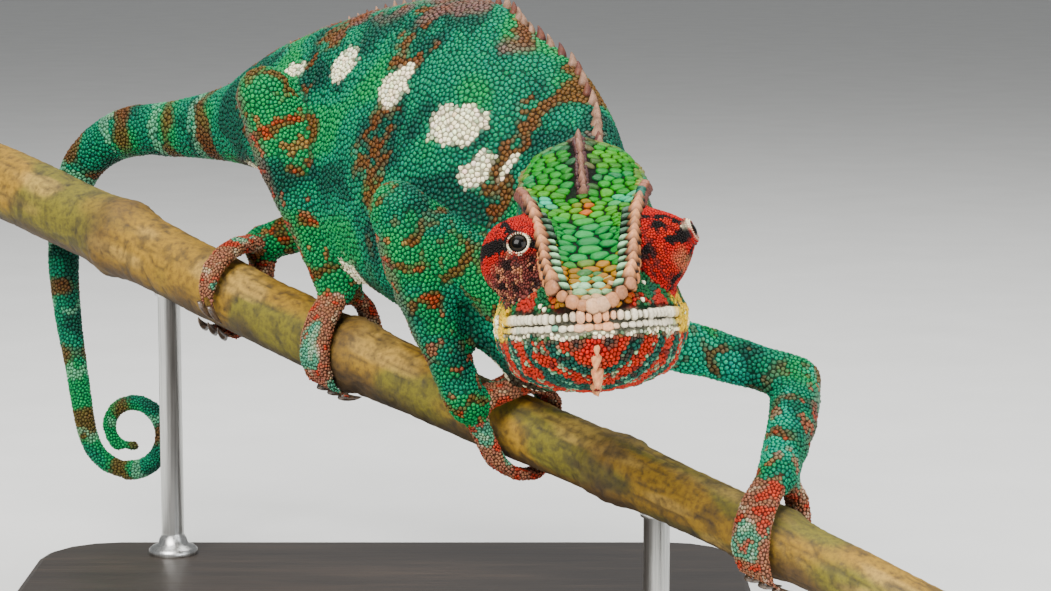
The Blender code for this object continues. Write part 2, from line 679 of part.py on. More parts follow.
def toe_bundle(name, wrist, side, toes, group, cutters):
    """One bundle of fused toes, from the wrist round one side of the branch to the claws."""
    share = branch_share(wrist)
    axis = branch_axis(share)
    along = (branch_axis(share + 0.01) - branch_axis(share - 0.01)).normalized()
    up = wrist - axis
    up -= along * up.dot(along)
    reach = up.length
    up.normalize()
    around = along.cross(up) * side
    skew = TOE_SKEW[-1 if around.y < 0.0 else 1]
    grip = branch_radius(share) + GAP + TOE_RADIUS
    bundle = None
    for i in range(toes):
        place = i - (toes - 1) / 2.0
        points = [axis + up * reach + along * (place * TOE_ROOT_PITCH) - around * TOE_ROOT_BACK]
        for spread, degrees, lift in TOE_TURN:
            angle = math.radians(degrees)
            radius = grip + lift
            offset = along * (place * TOE_PITCH * min(spread + 0.35, 1.15) + skew * spread)
            points.append(axis + offset + (up * math.cos(angle) + around * math.sin(angle)) * radius)
        toe = tube(name, points, TOE_PROFILE, group, TOE_STEPS, TOE_SIDES, side=along)
        if bundle is None:
            bundle = toe
        else:
            boolean(bundle, toe, "UNION")
            bpy.data.objects.remove(toe)
    beyond = axis + up * reach - around * (PALM_BLOCK / 2.0 - GAP / 2.0)
    half = block(name + "_cleft", beyond, (along, around, up), (PALM_BLOCK,) * 3, cutters)
    boolean(bundle, half, "DIFFERENCE")
    return bundle


def foot(key, end, lower, trunk, branch, group, cutters):
    """Both toe bundles of one foot."""
    kind, side = key.split("_")
    inner_side = FOOT_SIDES[key]
    inner_toes = INNER_TOES[kind]
    label = FOOT_NAMES[kind]
    inner = toe_bundle(label + "_inner_" + side, Vector(end), inner_side, inner_toes, group, cutters)
    outer = toe_bundle(label + "_outer_" + side, Vector(end), -inner_side, 5 - inner_toes, group,
                       cutters)
    clear_of(inner, [lower, branch, trunk], cutters)
    clear_of(outer, [lower, branch, trunk], cutters)
    return inner, outer


def stand(branch, group, cutters):
    """Flat plate with rounded corners and two rods let into it and into the branch."""
    builder = bmesh.new()
    bmesh.ops.create_cube(builder, size=1.0)
    size = Matrix.Diagonal((PLATE_LENGTH, PLATE_DEPTH, PLATE_THICKNESS, 1.0))
    place = Matrix.Translation(STAND_FOOT + Vector((0.0, 0.0, PLATE_THICKNESS / 2.0)))
    bmesh.ops.transform(builder, matrix=place @ size, verts=builder.verts)
    uprights = [edge for edge in builder.edges
                if abs(edge.verts[0].co.z - edge.verts[1].co.z) > PLATE_THICKNESS / 2.0]
    bmesh.ops.bevel(builder, geom=uprights, offset=PLATE_CORNER, segments=4, profile=0.5, affect="EDGES")
    top = STAND_FOOT.z + PLATE_THICKNESS
    rim = [edge for edge in builder.edges if all(abs(vert.co.z - top) < 0.01 for vert in edge.verts)]
    bmesh.ops.bevel(builder, geom=rim, offset=PLATE_EDGE, segments=2, profile=0.5, affect="EDGES")
    plate = new_object("stand_base", builder, group)
    rods = []
    for name, share in ROD_FRACTIONS.items():
        head = branch_axis(share)
        top_z = head.z - branch_radius(share) + ROD_BITE
        foot_z = top - ROD_SEAT
        builder = bmesh.new()
        centre = Vector((head.x, head.y, (top_z + foot_z) / 2.0))
        bmesh.ops.create_cone(builder, cap_ends=True, segments=12, radius1=ROD_RADIUS, radius2=ROD_RADIUS,
                              depth=top_z - foot_z, matrix=Matrix.Translation(centre))
        rods.append(new_object(name, builder, group))
    clear_of(plate, rods, cutters)
    clear_of(branch, rods, cutters)
    return [plate] + rods


def cut_front(whole, cutters):
    """Part the head, casque, lower jaw, neck and trunk from one another with thin slits."""
    nape_top = CASQUE_BACK + Vector((0.0, 3.0, 16.0))
    share = (NECK_CUT_Y - CASQUE_FRONT.y) / (CASQUE_BACK.y - CASQUE_FRONT.y)
    neck_top = CASQUE_FRONT.lerp(CASQUE_BACK, share)
    neck_foot = Vector((0.0, NECK_CUT_Y + 1.0, -40.0))
    lip_front = Vector((0.0, SNOUT_Y - 5.0, MOUTH_Z))
    lip_back = Vector((0.0, MOUTH_CORNER_Y, MOUTH_Z))
    slits = [
        head_slit("casque_slit", CASQUE_FRONT, CASQUE_BACK, cutters),
        head_slit("nape_slit", CASQUE_BACK - Vector((0.0, 0.1, 0.1)), nape_top, cutters),
        head_slit("neck_slit", neck_top, neck_foot, cutters),
        head_slit("mouth_slit", lip_front, lip_back, cutters),
        head_slit("jaw_slit", lip_back - Vector((0.0, 0.1, 0.0)), JAW_HINGE, cutters),
    ]
    line, _ = body_line()
    run = run_at(line, NECK_END)
    ahead = (spline(line, run + 1.0) - spline(line, run - 1.0)).normalized()
    side = ahead.cross(Vector((0.0, 0.0, 1.0))).normalized()
    size = (CHEST_SLIT_WIDTH, CHEST_SLIT_WIDTH, SLIT)
    slits.append(block("chest_slit", NECK_END, (side, side.cross(ahead), ahead), size, cutters))
    for tool in slits:
        boolean(whole, tool, "DIFFERENCE")


def paint(part, materials):
    """Give a part its own finish and smooth shading."""
    rules = (("eye_turret", "red"), ("eye_", "eye"), ("lower_jaw", "throat"), ("head", "green"),
             ("casque", "green"), ("hand", "foot"), ("foot", "foot"), ("perch", "wood"),
             ("stand_base", "plate"), ("stand_rod", "steel"))
    label = next((colour for start, colour in rules if part.name.startswith(start)), "teal")
    part.data.materials.clear()
    part.data.materials.append(materials[label].copy())
    part.data.shade_smooth()
    part.data.set_sharp_from_angle(angle=math.radians(CREASE_ANGLE))


def build():
    """Model the whole animal, its perch and its stand."""
    for existing in list(bpy.data.objects):
        bpy.data.objects.remove(existing)
    group = collection("panther_chameleon")
    cutters = collection("cutters")
    scratch = collection("scratch")
    materials = {name: finish(name) for name in COLOURS}

    line, _ = body_line()
    trunk_end = run_at(line, TRUNK_END)
    whole = head_hull(scratch)
    body = loft("body", body_rings(0.0, trunk_end, BODY_STEP, BODY_SIDES), scratch)
    boolean(whole, body, "UNION")
    bpy.data.objects.remove(body)
    cut_front(whole, cutters)
    centres = {
        "head": HEAD @ Vector((0.0, 3.0, -2.0)),
        "casque": HEAD @ Vector((0.0, 18.0, 13.0)),
        "lower_jaw": HEAD @ Vector((0.0, 0.0, -18.0)),
        "neck": HEAD @ Vector((0.0, 33.0, -3.0)),
        "trunk": Vector((-12.0, 90.0, 16.0)),
    }
    flesh = name_islands(whole, centres, group)
    bpy.data.objects.remove(whole)
    for part, rows in ((flesh["trunk"], ridge_spines(scratch)), (flesh["lower_jaw"], chin_spines(scratch))):
        boolean(part, rows, "UNION")
        bpy.data.objects.remove(rows)
    for side, placing in (("right", TURRET_RIGHT), ("left", TURRET_LEFT)):
        lid, _ = turret("eye_turret_" + side, "eye_" + side, placing, flesh["head"], group, cutters)
        clear_of(lid, [flesh["casque"]], cutters)

    breaks = [trunk_end] + [trunk_end + run for _, run in TAIL_BREAKS] + [line[-1][0]]
    names = [name for name, _ in TAIL_BREAKS] + ["tail_curl"]
    for i, name in enumerate(names):
        rings = body_rings(breaks[i] + GAP, breaks[i + 1], TAIL_STEP, TAIL_SIDES)
        loft(name, rings, group, domed_end=name == names[-1])

    branch = perch(group)
    for key, joints in LIMBS.items():
        _, lower = limb(key, joints, [flesh["trunk"], flesh["neck"]], group, cutters)
        foot(key, joints[2], lower, flesh["trunk"], branch, group, cutters)
    stand(branch, group, cutters)
    for part in group.objects:
        paint(part, materials)
    bpy.data.collections.remove(scratch)


build()
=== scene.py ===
"""Life-size panther chameleon on a cut branch: its stand, branch, skin, scales, crests, eyes and claws."""
import math

import bpy
import numpy as np
from mathutils import Matrix, Vector
from mathutils.bvhtree import BVHTree
from mathutils.kdtree import KDTree


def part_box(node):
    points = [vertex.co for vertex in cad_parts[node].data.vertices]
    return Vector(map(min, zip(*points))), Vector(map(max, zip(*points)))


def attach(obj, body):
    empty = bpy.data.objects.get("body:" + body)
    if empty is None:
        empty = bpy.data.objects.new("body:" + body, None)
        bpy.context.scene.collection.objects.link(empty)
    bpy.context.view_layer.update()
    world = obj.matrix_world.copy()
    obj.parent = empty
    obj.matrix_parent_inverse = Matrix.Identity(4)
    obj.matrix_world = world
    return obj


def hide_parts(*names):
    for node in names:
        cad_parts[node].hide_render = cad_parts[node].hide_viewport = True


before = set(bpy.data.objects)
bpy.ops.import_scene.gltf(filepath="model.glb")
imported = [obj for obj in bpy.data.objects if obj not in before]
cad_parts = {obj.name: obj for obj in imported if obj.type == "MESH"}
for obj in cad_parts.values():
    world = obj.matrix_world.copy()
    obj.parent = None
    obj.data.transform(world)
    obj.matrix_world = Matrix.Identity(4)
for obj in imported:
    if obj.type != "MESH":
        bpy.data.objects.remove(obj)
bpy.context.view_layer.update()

# ==== Stand plate =============================================================================
# A flat oak plate with rounded corners, planed, stained near black and waxed.  The open grain
# shows as fine lengthwise pores.


class Wire:
    """One value, colour or vector on its way through a finish; arithmetic adds its Math nodes."""

    def __init__(self, tree, socket):
        self.tree = tree
        self.socket = socket

    def node(self, kind, settings, sockets, out=0):
        """Output of a new node, with its settings made before its sockets are filled."""
        made = self.tree.nodes.new(kind)
        for name, value in settings.items():
            if name == "stops":
                marks = made.color_ramp.elements
                while len(marks) < len(value):
                    marks.new(0.5)
                for mark, (position, colour) in zip(marks, value):
                    mark.position = position
                    mark.color = (*colour, 1.0)
            else:
                setattr(made, name, value)
        for name, value in sockets.items():
            if isinstance(value, Wire):
                self.tree.links.new(value.socket, made.inputs[name])
            else:
                made.inputs[name].default_value = value
        return Wire(self.tree, made.outputs[out])

    def maths(self, operation, first, second):
        return self.node("ShaderNodeMath", {"operation": operation}, {0: first, 1: second})

    def __add__(self, other):
        return self.maths("ADD", self, other)

    def __radd__(self, other):
        return self.maths("ADD", other, self)

    def __sub__(self, other):
        return self.maths("SUBTRACT", self, other)

    def __rsub__(self, other):
        return self.maths("SUBTRACT", other, self)

    def __mul__(self, other):
        return self.maths("MULTIPLY", self, other)

    def __rmul__(self, other):
        return self.maths("MULTIPLY", other, self)

    def feed(self, shader, name):
        self.tree.links.new(self.socket, shader.inputs[name])


def new_finish(name, **fixed):
    """An empty finish, its shader with what stays the same all over, and its place wire."""
    material = bpy.data.materials.new(name)
    material.use_nodes = True
    tree = material.node_tree
    shader = tree.nodes["Principled BSDF"]
    for socket, value in fixed.items():
        shader.inputs[socket.replace("_", " ")].default_value = value
    place = tree.nodes.new("ShaderNodeTexCoord").outputs["Object"]
    return material, shader, Wire(tree, place)


def pigment(red, green, blue):
    """Linear colour of a paint given as 0 to 255."""
    paint = np.array((red, green, blue), float) / 255.0
    return np.where(paint <= 0.04045, paint / 12.92, ((paint + 0.055) / 1.055) ** 2.4)


def noise(place, scale, detail, roughness=0.5):
    """Random mottling."""
    sockets = {"Vector": place, "Scale": scale, "Detail": detail, "Roughness": roughness}
    return place.node("ShaderNodeTexNoise", {}, sockets)


def drawn_out(place, scale):
    """The place, stretched along the grain."""
    return place.node("ShaderNodeMapping", {}, {0: place, 3: scale})


def graded(value, *stops):
    """Colour of a value among (value, colour) stops."""
    return value.node("ShaderNodeValToRGB", {"stops": stops}, {0: value})


def raised(shader, height, strength, distance, **settings):
    """Fine relief of the finish."""
    sockets = {"Strength": strength, "Distance": distance, "Height": height}
    height.node("ShaderNodeBump", settings, sockets, "Normal").feed(shader, "Normal")


stained_oak, shader, place = new_finish("stained_oak", Coat_Weight=0.15, Coat_Roughness=0.3)
pores = noise(drawn_out(place, (60.0, 900.0, 900.0)), 1.0, 5.0)
rings = noise(drawn_out(place, (14.0, 110.0, 110.0)), 1.0, 3.0)
tone = graded(rings * 0.55 + pores * 0.45, (0.3, (0.012, 0.009, 0.007)), (0.52, (0.026, 0.019, 0.014)),
              (0.75, (0.055, 0.038, 0.026)))
tone.feed(shader, "Base Color")
(0.38 + pores * 0.22).feed(shader, "Roughness")
raised(shader, pores, 0.35, 0.0002)
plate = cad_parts["stand_base"]
plate.data.materials.clear()
plate.data.materials.append(stained_oak)
_, plate_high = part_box("stand_base")

# ==== Stand rods ==============================================================================
# Two round steel rods hold the branch.  Each is turned from bar, stands in a low collar screwed
# to the plate, and ends in a small cup under the branch.

DRAFT = np.array((-28.8, 81.2, -86.0))   # drafting millimetres at the middle of the plate's underside
STEEL_ROD_RADIUS = 2.4
COLLAR = ((5.2, -0.4), (5.2, 1.0), (4.6, 1.6), (3.2, 2.2), (2.9, 3.4), (2.4, 4.2))
ROD_SIDES = 40


def drafted(points):
    """Row metres as drafting millimetres."""
    return np.asarray(points, float) * 1000.0 + DRAFT


def build(name, points, corners, sizes, finish, slot, stands_for=(), colours=None, roots=None):
    """One piece from drafting millimetres, a flat list of face corners and the size of each face."""
    mesh = bpy.data.meshes.new(name)
    mesh.vertices.add(len(points))
    mesh.vertices.foreach_set("co", ((points - DRAFT) / 1000.0).astype(np.float32).ravel())
    mesh.loops.add(len(corners))
    mesh.loops.foreach_set("vertex_index", np.asarray(corners, np.int32))
    mesh.polygons.add(len(sizes))
    mesh.polygons.foreach_set("loop_start", np.concatenate(((0,), np.cumsum(sizes)[:-1])).astype(np.int32))
    mesh.update(calc_edges=True)
    mesh.validate()
    if colours is not None:
        layer = mesh.color_attributes.new("markings", "FLOAT_COLOR", "POINT")
        opaque = np.column_stack((colours, np.ones(len(colours))))
        layer.data.foreach_set("color", opaque.astype(np.float32).ravel())
    if roots is not None:
        mesh.uv_layers.new(name="OFBake").uv.foreach_set("vector", roots.astype(np.float32).ravel())
    mesh.materials.append(finish)
    made = bpy.data.objects.new(name, mesh)
    bpy.context.scene.collection.objects.link(made)
    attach(made, "root")
    if stands_for:
        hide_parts(*stands_for)
    return made


def unit(vectors):
    """Vectors of length 1."""
    return vectors / np.maximum(np.linalg.norm(vectors, axis=-1, keepdims=True), 1e-9)


def turns(sides):
    """Even angles all round."""
    return math.tau * np.arange(sides) / sides


def compass(sides, first, second):
    """Directions all round, from the first towards the second."""
    return np.outer(np.cos(turns(sides)), first) + np.outer(np.sin(turns(sides)), second)


def wall(low, high, sides):
    """Corners of the faces between two rings of points, numbered from low and from high."""
    this = np.arange(sides)
    after = (this + 1) % sides
    return np.stack((this + low, after + low, after + high, this + high), 1).reshape(-1)


def loft(rings):
    """Points, corners and face sizes of a closed tube through rings that run counter-clockwise."""
    count, sides = rings.shape[:2]
    walls = [wall(i * sides, (i + 1) * sides, sides) for i in range(count - 1)]
    end = np.arange(sides)
    corners = np.concatenate(walls + [end[::-1], end + (count - 1) * sides])
    return rings.reshape(-1, 3), corners, np.concatenate((np.full((count - 1) * sides, 4), (sides, sides)))


def joined(parts):
    """Several (points, corners, sizes) as one."""
    points, corners, sizes = zip(*parts)
    shift = np.cumsum([0] + [len(group) for group in points])
    corners = [group + start for group, start in zip(corners, shift)]
    return np.concatenate(points), np.concatenate(corners), np.concatenate(sizes)


def turned(profile, foot, axis, side):
    """A turned solid: (radius, along) steps about an axis from its foot."""
    axis = unit(axis)
    side = unit(side - axis * side.dot(axis))
    circle = compass(ROD_SIDES, side, np.cross(axis, side))
    return loft(np.stack([foot + circle * radius + axis * along for radius, along in profile]))


brushed_steel, shader, place = new_finish("brushed_steel", Metallic=1.0)
lines = noise(drawn_out(place, (2600.0, 2600.0, 60.0)), 1.0, 3.0)
graded(lines, (0.35, (0.42, 0.42, 0.41)), (0.65, (0.62, 0.62, 0.60))).feed(shader, "Base Color")
(0.22 + lines * 0.2).feed(shader, "Roughness")
rods = []
for node in ("stand_rod_front", "stand_rod_back"):
    low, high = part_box(node)
    foot = drafted((low + high) / 2)
    foot[2] = drafted(plate_high)[2]
    top = drafted(high)[2] - foot[2]
    cup = ((STEEL_ROD_RADIUS, top - 2.4), (3.0, top - 2.0), (3.0, top - 0.9))
    rods.append(turned(COLLAR + ((STEEL_ROD_RADIUS, 4.6),) + cup, foot, np.array((0.0, 0.0, 1.0)),
                       np.array((1.0, 0.0, 0.0))))
build("stand_rods", *joined(rods), brushed_steel, "stand_rod", ("stand_rod_front", "stand_rod_back"))

# ==== Branch ==================================================================================
# A cut length of young branch under thin bark.  The bark is yellow-ochre with olive moss, brown
# below as painted shade, with pale streaks gathered on top as painted highlight, cracked lengthwise,
# and swollen at the knots; both ends are sawn square.

BRANCH_FRONT = np.array((69.5, -5.5, -54.5))
BRANCH_BACK = np.array((-125.0, 176.5, 3.5))
BRANCH_RADII = (5.4, 8.4)
BRANCH_KNOTS = ((0.135, 1.0), (0.27, 0.7), (0.53, 0.8), (0.80, 1.1))
BARK_LENGTH = 272.0
BARK_ROUND = 6.5   # mean radius, on which the bark is patterned
BRANCH_SIDES = 72
BRANCH_RINGS = 430
CAP_RINGS = 22
OCHRE = pigment(132, 99, 0)
OLIVE = pigment(82, 86, 6)
BROWN_BARK = pigment(55, 36, 15)
DARK_BARK = pigment(26, 19, 9)
PALE_BARK = pigment(165, 132, 57)
SAWN = pigment(178, 142, 86)


def wander(points, size, seed):
    """A smooth random value from -1 to 1 at each point, changing over the given size."""
    dice = np.random.default_rng(seed)
    order = dice.permutation(256)
    level = dice.uniform(-1.0, 1.0, 256)
    cell = np.asarray(points) / size
    corner = np.floor(cell).astype(int)
    fade = cell - corner
    fade = fade * fade * (3.0 - 2.0 * fade)
    total = np.zeros(len(cell))
    for dx in (0, 1):
        for dy in (0, 1):
            for dz in (0, 1):
                key = order[(corner[:, 0] + dx) & 255]
                key = order[(key + corner[:, 1] + dy) & 255]
                key = order[(key + corner[:, 2] + dz) & 255]
                weight = (fade[:, 0] if dx else 1.0 - fade[:, 0]) * (fade[:, 1] if dy else 1.0 - fade[:, 1])
                total += level[key] * weight * (fade[:, 2] if dz else 1.0 - fade[:, 2])
    return total * 1.6


def ramp(value, low, high):
    """0 below low, 1 above high, eased between."""
    share = np.clip((value - low) / (high - low), 0.0, 1.0)
    return share * share * (3.0 - 2.0 * share)


def wash(colours, mask, paint):
    """Lays paint over the colours where the mask says."""
    colours += (paint - colours) * np.clip(mask, 0.0, 1.0)[:, None]


def branch_axis(share):
    """Points on the branch's axis."""
    share = np.asarray(share, float)[..., None]
    sway = np.array((0.0, 0.35, 1.0)) * 0.9 * np.sin(math.tau * 1.4 * share)
    return BRANCH_FRONT + (BRANCH_BACK - BRANCH_FRONT) * share + sway


def branch_radius(share):
    """Radius of the branch with its knots."""
    share = np.asarray(share, float)
    radius = BRANCH_RADII[0] + (BRANCH_RADII[1] - BRANCH_RADII[0]) * share
    for at, swell in BRANCH_KNOTS:
        radius = radius + swell * np.exp(-((share - at) / 0.018) ** 2)
    return radius


def painted_under(shader, shade):
    """The piece's painted markings, varied by a shade."""
    painted = shade.node("ShaderNodeVertexColor", {"layer_name": "markings"}, {}, "Color")
    mixing = {"data_type": "RGBA", "blend_type": "MULTIPLY"}
    shade.node("ShaderNodeMix", mixing, {0: 1.0, 6: painted, 7: shade}, 2).feed(shader, "Base Color")


shares = np.linspace(0.0, 1.0, BRANCH_RINGS)
spine = branch_axis(shares)
heading = unit(np.gradient(spine, axis=0))
beside = unit(np.cross(heading, (0.0, 0.0, 1.0)))
above = np.cross(beside, heading)
turn = -turns(BRANCH_SIDES)
spokes = beside[:, None] * np.cos(turn)[:, None] + above[:, None] * np.sin(turn)[:, None] * 0.97
flat = np.stack(np.broadcast_arrays(np.cos(turn) * BARK_ROUND, np.sin(turn) * BARK_ROUND,
                                    shares[:, None] * BARK_LENGTH), -1)
flat = flat.reshape(-1, 3)
lumps = wander(flat, 9.0, 1)
cracks = np.abs(wander(flat * (1.0, 1.0, 0.22), 1.5, 2))
grit = wander(flat, 0.9, 3)
rough = 0.16 * lumps - 0.20 * ramp(0.28 - cracks, 0.0, 0.28) + 0.07 * grit - 0.12
knot_near = np.max([np.exp(-((flat[:, 2] / BARK_LENGTH - at) / 0.02) ** 2) for at, _ in BRANCH_KNOTS], axis=0)
rough += 0.2 * knot_near * wander(flat * (1.0, 1.0, 2.5), 3.0, 4)
girth = branch_radius(shares)[:, None] * 0.985 + rough.reshape(BRANCH_RINGS, BRANCH_SIDES)
bark = spine[:, None] + spokes * girth[..., None]
upward = spokes[..., 2].reshape(-1)
tint = np.tile(OCHRE, (len(flat), 1))
wash(tint, ramp(wander(flat * (1.0, 1.0, 0.5), 7.0, 5), -0.15, 0.5) * 0.75, OLIVE)
# Painted shade: brown laid over the downward-facing bark, broken up by the lumps.
wash(tint, ramp(-upward + 0.35 * lumps, 0.1, 0.75) * 0.85, BROWN_BARK)
# Pale streaks at random, with more of them on the upper side as painted highlight.
wash(tint, ramp(wander(flat * (1.0, 1.0, 0.35), 4.0, 6) + 0.4 * upward, 0.45, 0.95) * 0.6, PALE_BARK)
wash(tint, ramp(0.22 - cracks, 0.0, 0.2) * 0.55, DARK_BARK)
wash(tint, ramp(wander(flat, 2.2, 7), 0.55, 0.9) * 0.5, DARK_BARK)
wash(tint, knot_near * 0.55, BROWN_BARK)
caps = []
cap_tint = []
for end, outward in ((0, -1.0), (BRANCH_RINGS - 1, 1.0)):
    for shrink in np.linspace(0.97, 0.04, CAP_RINGS):
        bulge = heading[end] * (outward * 0.25 * (1.0 - shrink ** 8))
        caps.append(spine[end] + (bark[end] - spine[end]) * shrink + bulge)
        year = 0.5 + 0.5 * math.sin(shrink * 34.0)
        wood = SAWN * (0.62 + 0.38 * year) if shrink > 0.12 else BROWN_BARK
        cap_tint.append(np.tile(wood, (BRANCH_SIDES, 1)))
rings = np.concatenate((caps[CAP_RINGS - 1::-1], bark, caps[CAP_RINGS:]))
tint = np.concatenate(cap_tint[CAP_RINGS - 1::-1] + [tint] + cap_tint[CAP_RINGS:])

bark_finish, shader, place = new_finish("branch_bark")
speck = noise(place, 900.0, 6.0, 0.65)
painted_under(shader, graded(speck, (0.32, (0.45, 0.42, 0.38)), (0.55, (1.0, 1.0, 1.0)),
                             (0.75, (1.25, 1.22, 1.12))))
(0.62 + speck * 0.3).feed(shader, "Roughness")
raised(shader, speck, 0.5, 0.0003)
build("branch_bark", *loft(rings), bark_finish, "branch", ("perch_branch",), tint)

# ==== Skin ====================================================================================
# One skin over the whole animal, cast in soft resin without a seam.  It lies inside the outer form
# by the depth of the scales, is folded round the eye turrets, limbs and throat, and is painted
# with the same markings as the scales that stand on it, darkened as painted shade where it shows
# between them.

HEAD_POSE = np.array(Matrix.Rotation(math.radians(-8.0), 4, "X") @ Matrix.Translation((10.3, 0.0, 8.0))
                     @ Matrix.Rotation(math.radians(-3.5), 4, "Y")
                     @ Matrix.Rotation(math.radians(-0.5), 4, "Z"))
COAT_DEPTH = 0.45       # height of the common scales over the skin
SEAL = 0.28             # how far the solids are swollen to close the gaps between them
SKIN_GRAIN = 0.72       # size of the small cubes that the solids are fused from
LIMB_PASSES = 14
SMOOTHING = ((60, ("trunk", "neck", "tail_root")), (24, ("tail_middle", "tail_hook")),
             (6, ("head", "casque", "lower_jaw")), (12, ("eye_turret",)), (5, ("hand", "foot")))
# rounds of smoothing for the parts that differ from the limbs
MOUTH_Z = -12.3         # height of the mouth line in the head's frame
MOUTH_CORNER_Y = 13.5
CREST_EDGE = ((-19.6, 3.4, -9.7), (-18.8, 4.8, -8.5), (-17.2, 6.4, -6.4), (-14.0, 7.6, -3.4),
              (-8.0, 8.1, 1.0), (-2.0, 9.0, 5.4), (2.0, 10.0, 8.2), (5.0, 10.6, 9.7), (12.0, 11.5, 10.8),
              (20.0, 11.5, 12.8), (28.0, 9.9, 15.2), (33.0, 8.0, 14.0), (37.0, 6.6, 10.5))
# back from the eyes, half width and height of the crest on the edge of the crown
TURRETS = {"right": (np.array((-10.7, -0.8, -1.2)), np.array((-0.09, -0.95, 0.31))),
           "left": (np.array((10.4, 0.6, -1.1)), np.array((0.905, -0.20, 0.36)))}
# middle of each turret's foot and its line of sight, in the head's frame
BODY_LINE = ((11.0, 26.0, 3.0, 33.0), (10.8, 36.6, 0.3, 41.2), (8.0, 51.0, 1.2, 55.4), (2.4, 61.8, 7.1, 60.8),
             (-7.0, 70.4, 12.8, 63.0), (-12.0, 78.9, 15.2, 64.0), (-21.0, 90.2, 16.6, 61.0),
             (-33.5, 106.6, 18.8, 49.0), (-48.0, 126.1, 20.6, 31.0), (-60.0, 141.8, 17.4, 20.0),
             (-75.0, 156.5, 14.9, 14.8), (-90.0, 168.4, 12.7, 12.4), (-100.0, 173.3, 4.9, 10.8),
             (-104.0, 172.0, -12.0, 9.0), (-103.0, 168.6, -27.6, 7.6), (-100.6, 165.2, -40.5, 6.4))
# middles of the neck, trunk and tail from front to back, each with the height of the body there
CURL_MIDDLE = np.array((-88.0, 159.2, -52.6))
CURL_STEPS = 24
CURL_TURNS = 1.3
COIL_GIRTH = (2.4, 1.25)   # the coil's radius under its scales, at its start and its tip
LIMBS = {"arm_right": ((4.0, 47.0, -12.0), (-23.6, 51.8, 8.8), (-10.9, 50.6, -27.4)),
         "arm_left": ((17.0, 42.6, -12.8), (49.5, 43.4, -21.6), (43.8, 19.6, -35.0)),
         "leg_right": ((-48.0, 121.0, 17.0), (-51.5, 96.8, 26.4), (-37.0, 93.0, -11.2)),
         "leg_left": ((-43.0, 127.5, 16.0), (-22.0, 119.9, 5.4), (-55.6, 124.4, -6.6))}
# shoulder or hip, elbow or knee, and wrist or ankle


def to_head(points):
    """Drafting points in the head's own frame: X left, Y backward, Z up."""
    return (points - HEAD_POSE[:3, 3]) @ HEAD_POSE[:3, :3]


def from_head(points):
    """Head points in the drafting frame."""
    return np.asarray(points) @ HEAD_POSE[:3, :3].T + HEAD_POSE[:3, 3]


def turret_place(head, side):
    """Along the sight line, off it, and the angle about it from the animal's outer side upward."""
    base, sight = TURRETS[side]
    sight = unit(sight)
    up = unit(np.array((0.0, 0.0, 1.0)) - sight * sight[2])
    away = np.cross(up, sight) * (1.0 if side == "right" else -1.0)
    offset = head - base
    along = offset @ sight
    over = offset @ up
    out = offset @ away
    return along, np.hypot(over, out), np.arctan2(over, out)


def planted(points):
    """Tree of points, for finding the nearest."""
    tree = KDTree(len(points))
    for i, point in enumerate(points):
        tree.insert(point, i)
    tree.balance()
    return tree


def nearest_in(tree, points):
    """Number of the tree's point nearest to each point."""
    return np.array([tree.find(point)[1] for point in points])


def run_of(path):
    """Distance along a path to each of its points."""
    return np.concatenate(((0.0,), np.cumsum(np.linalg.norm(np.diff(path, axis=0), axis=1))))


def along_path(at, run, path):
    """Points of a path at distances along it."""
    return np.stack([np.interp(at, run, path[:, i]) for i in range(3)], 1)


line_steps = np.array(BODY_LINE)
share = np.linspace(0.0, 1.0, CURL_STEPS)
turn = math.pi + math.tau * CURL_TURNS * share
radius = np.linspace(10.6, 3.4, CURL_STEPS)
curl = (CURL_MIDDLE + np.outer(radius * np.cos(turn), (0.975, -0.224, 0.0))
        + np.outer(radius * np.sin(turn), (0.0, 0.0, 1.0)) + np.outer(CURL_TURNS * share, (0.2, -1.6, 0.0)))
line_points = np.concatenate((line_steps[:, :3], curl))
line_tall = np.concatenate((line_steps[:, 3] / 2.0, np.linspace(2.8, 1.15, CURL_STEPS)))
line_run = run_of(line_points)
curl_start = line_run[-CURL_STEPS]
dense_run = np.arange(0.0, line_run[-1], 0.8)
dense_line = along_path(dense_run, line_run, line_points)
dense_tall = np.interp(dense_run, line_run, line_tall)
line_tree = planted(dense_line)
line_end = len(dense_line) - 1


def along_body(points):
    """Run back along the body, height above its line in half heights, that half height, and the flank."""
    nearest = nearest_in(line_tree, points)
    tall = dense_tall[nearest]
    ahead = dense_line[np.minimum(nearest + 2, line_end)] - dense_line[np.maximum(nearest - 2, 0)]
    offset = points - dense_line[nearest]
    flank = ahead[:, 0] * offset[:, 1] - ahead[:, 1] * offset[:, 0]
    run = dense_run[nearest] + np.einsum("ij,ij->i", offset, unit(ahead)) * (tall > 4.0)
    return run, offset[:, 2] / tall, tall, np.sign(-flank)


def read(items, field, width, kind):
    """A field of a mesh's items, one row for each."""
    values = np.zeros(len(items) * width, kind)
    items.foreach_get(field, values)
    return values.reshape(-1, width)


flesh = sorted(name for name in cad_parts
               if not name.startswith(("perch", "stand", "eye_left", "eye_right")))
cad_points = []
cad_faces = []
cad_owner = []
swollen = []
for number, name in enumerate(flesh + ["eye_left", "eye_right"]):
    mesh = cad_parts[name].data
    mesh.calc_loop_triangles()
    raw = drafted(read(mesh.vertices, "co", 3, np.float32))
    faces = read(mesh.loop_triangles, "vertices", 3, np.int32)
    _, first, same = np.unique(np.round(raw, 2), axis=0, return_index=True, return_inverse=True)
    points = raw[first]
    faces = same.reshape(-1)[faces]
    cross = np.cross(points[faces[:, 1]] - points[faces[:, 0]], points[faces[:, 2]] - points[faces[:, 0]])
    outward = np.zeros_like(points)
    for corner in range(3):
        np.add.at(outward, faces[:, corner], cross)
    cad_faces.append(faces + sum(len(group) for group in cad_points))
    cad_points.append(points)
    cad_owner.append(np.full(len(faces), number))
    swollen.append(points + unit(outward) * (0.0 if name == "tail_curl" else SEAL))
cad_points = np.concatenate(cad_points)
cad_faces = np.concatenate(cad_faces)
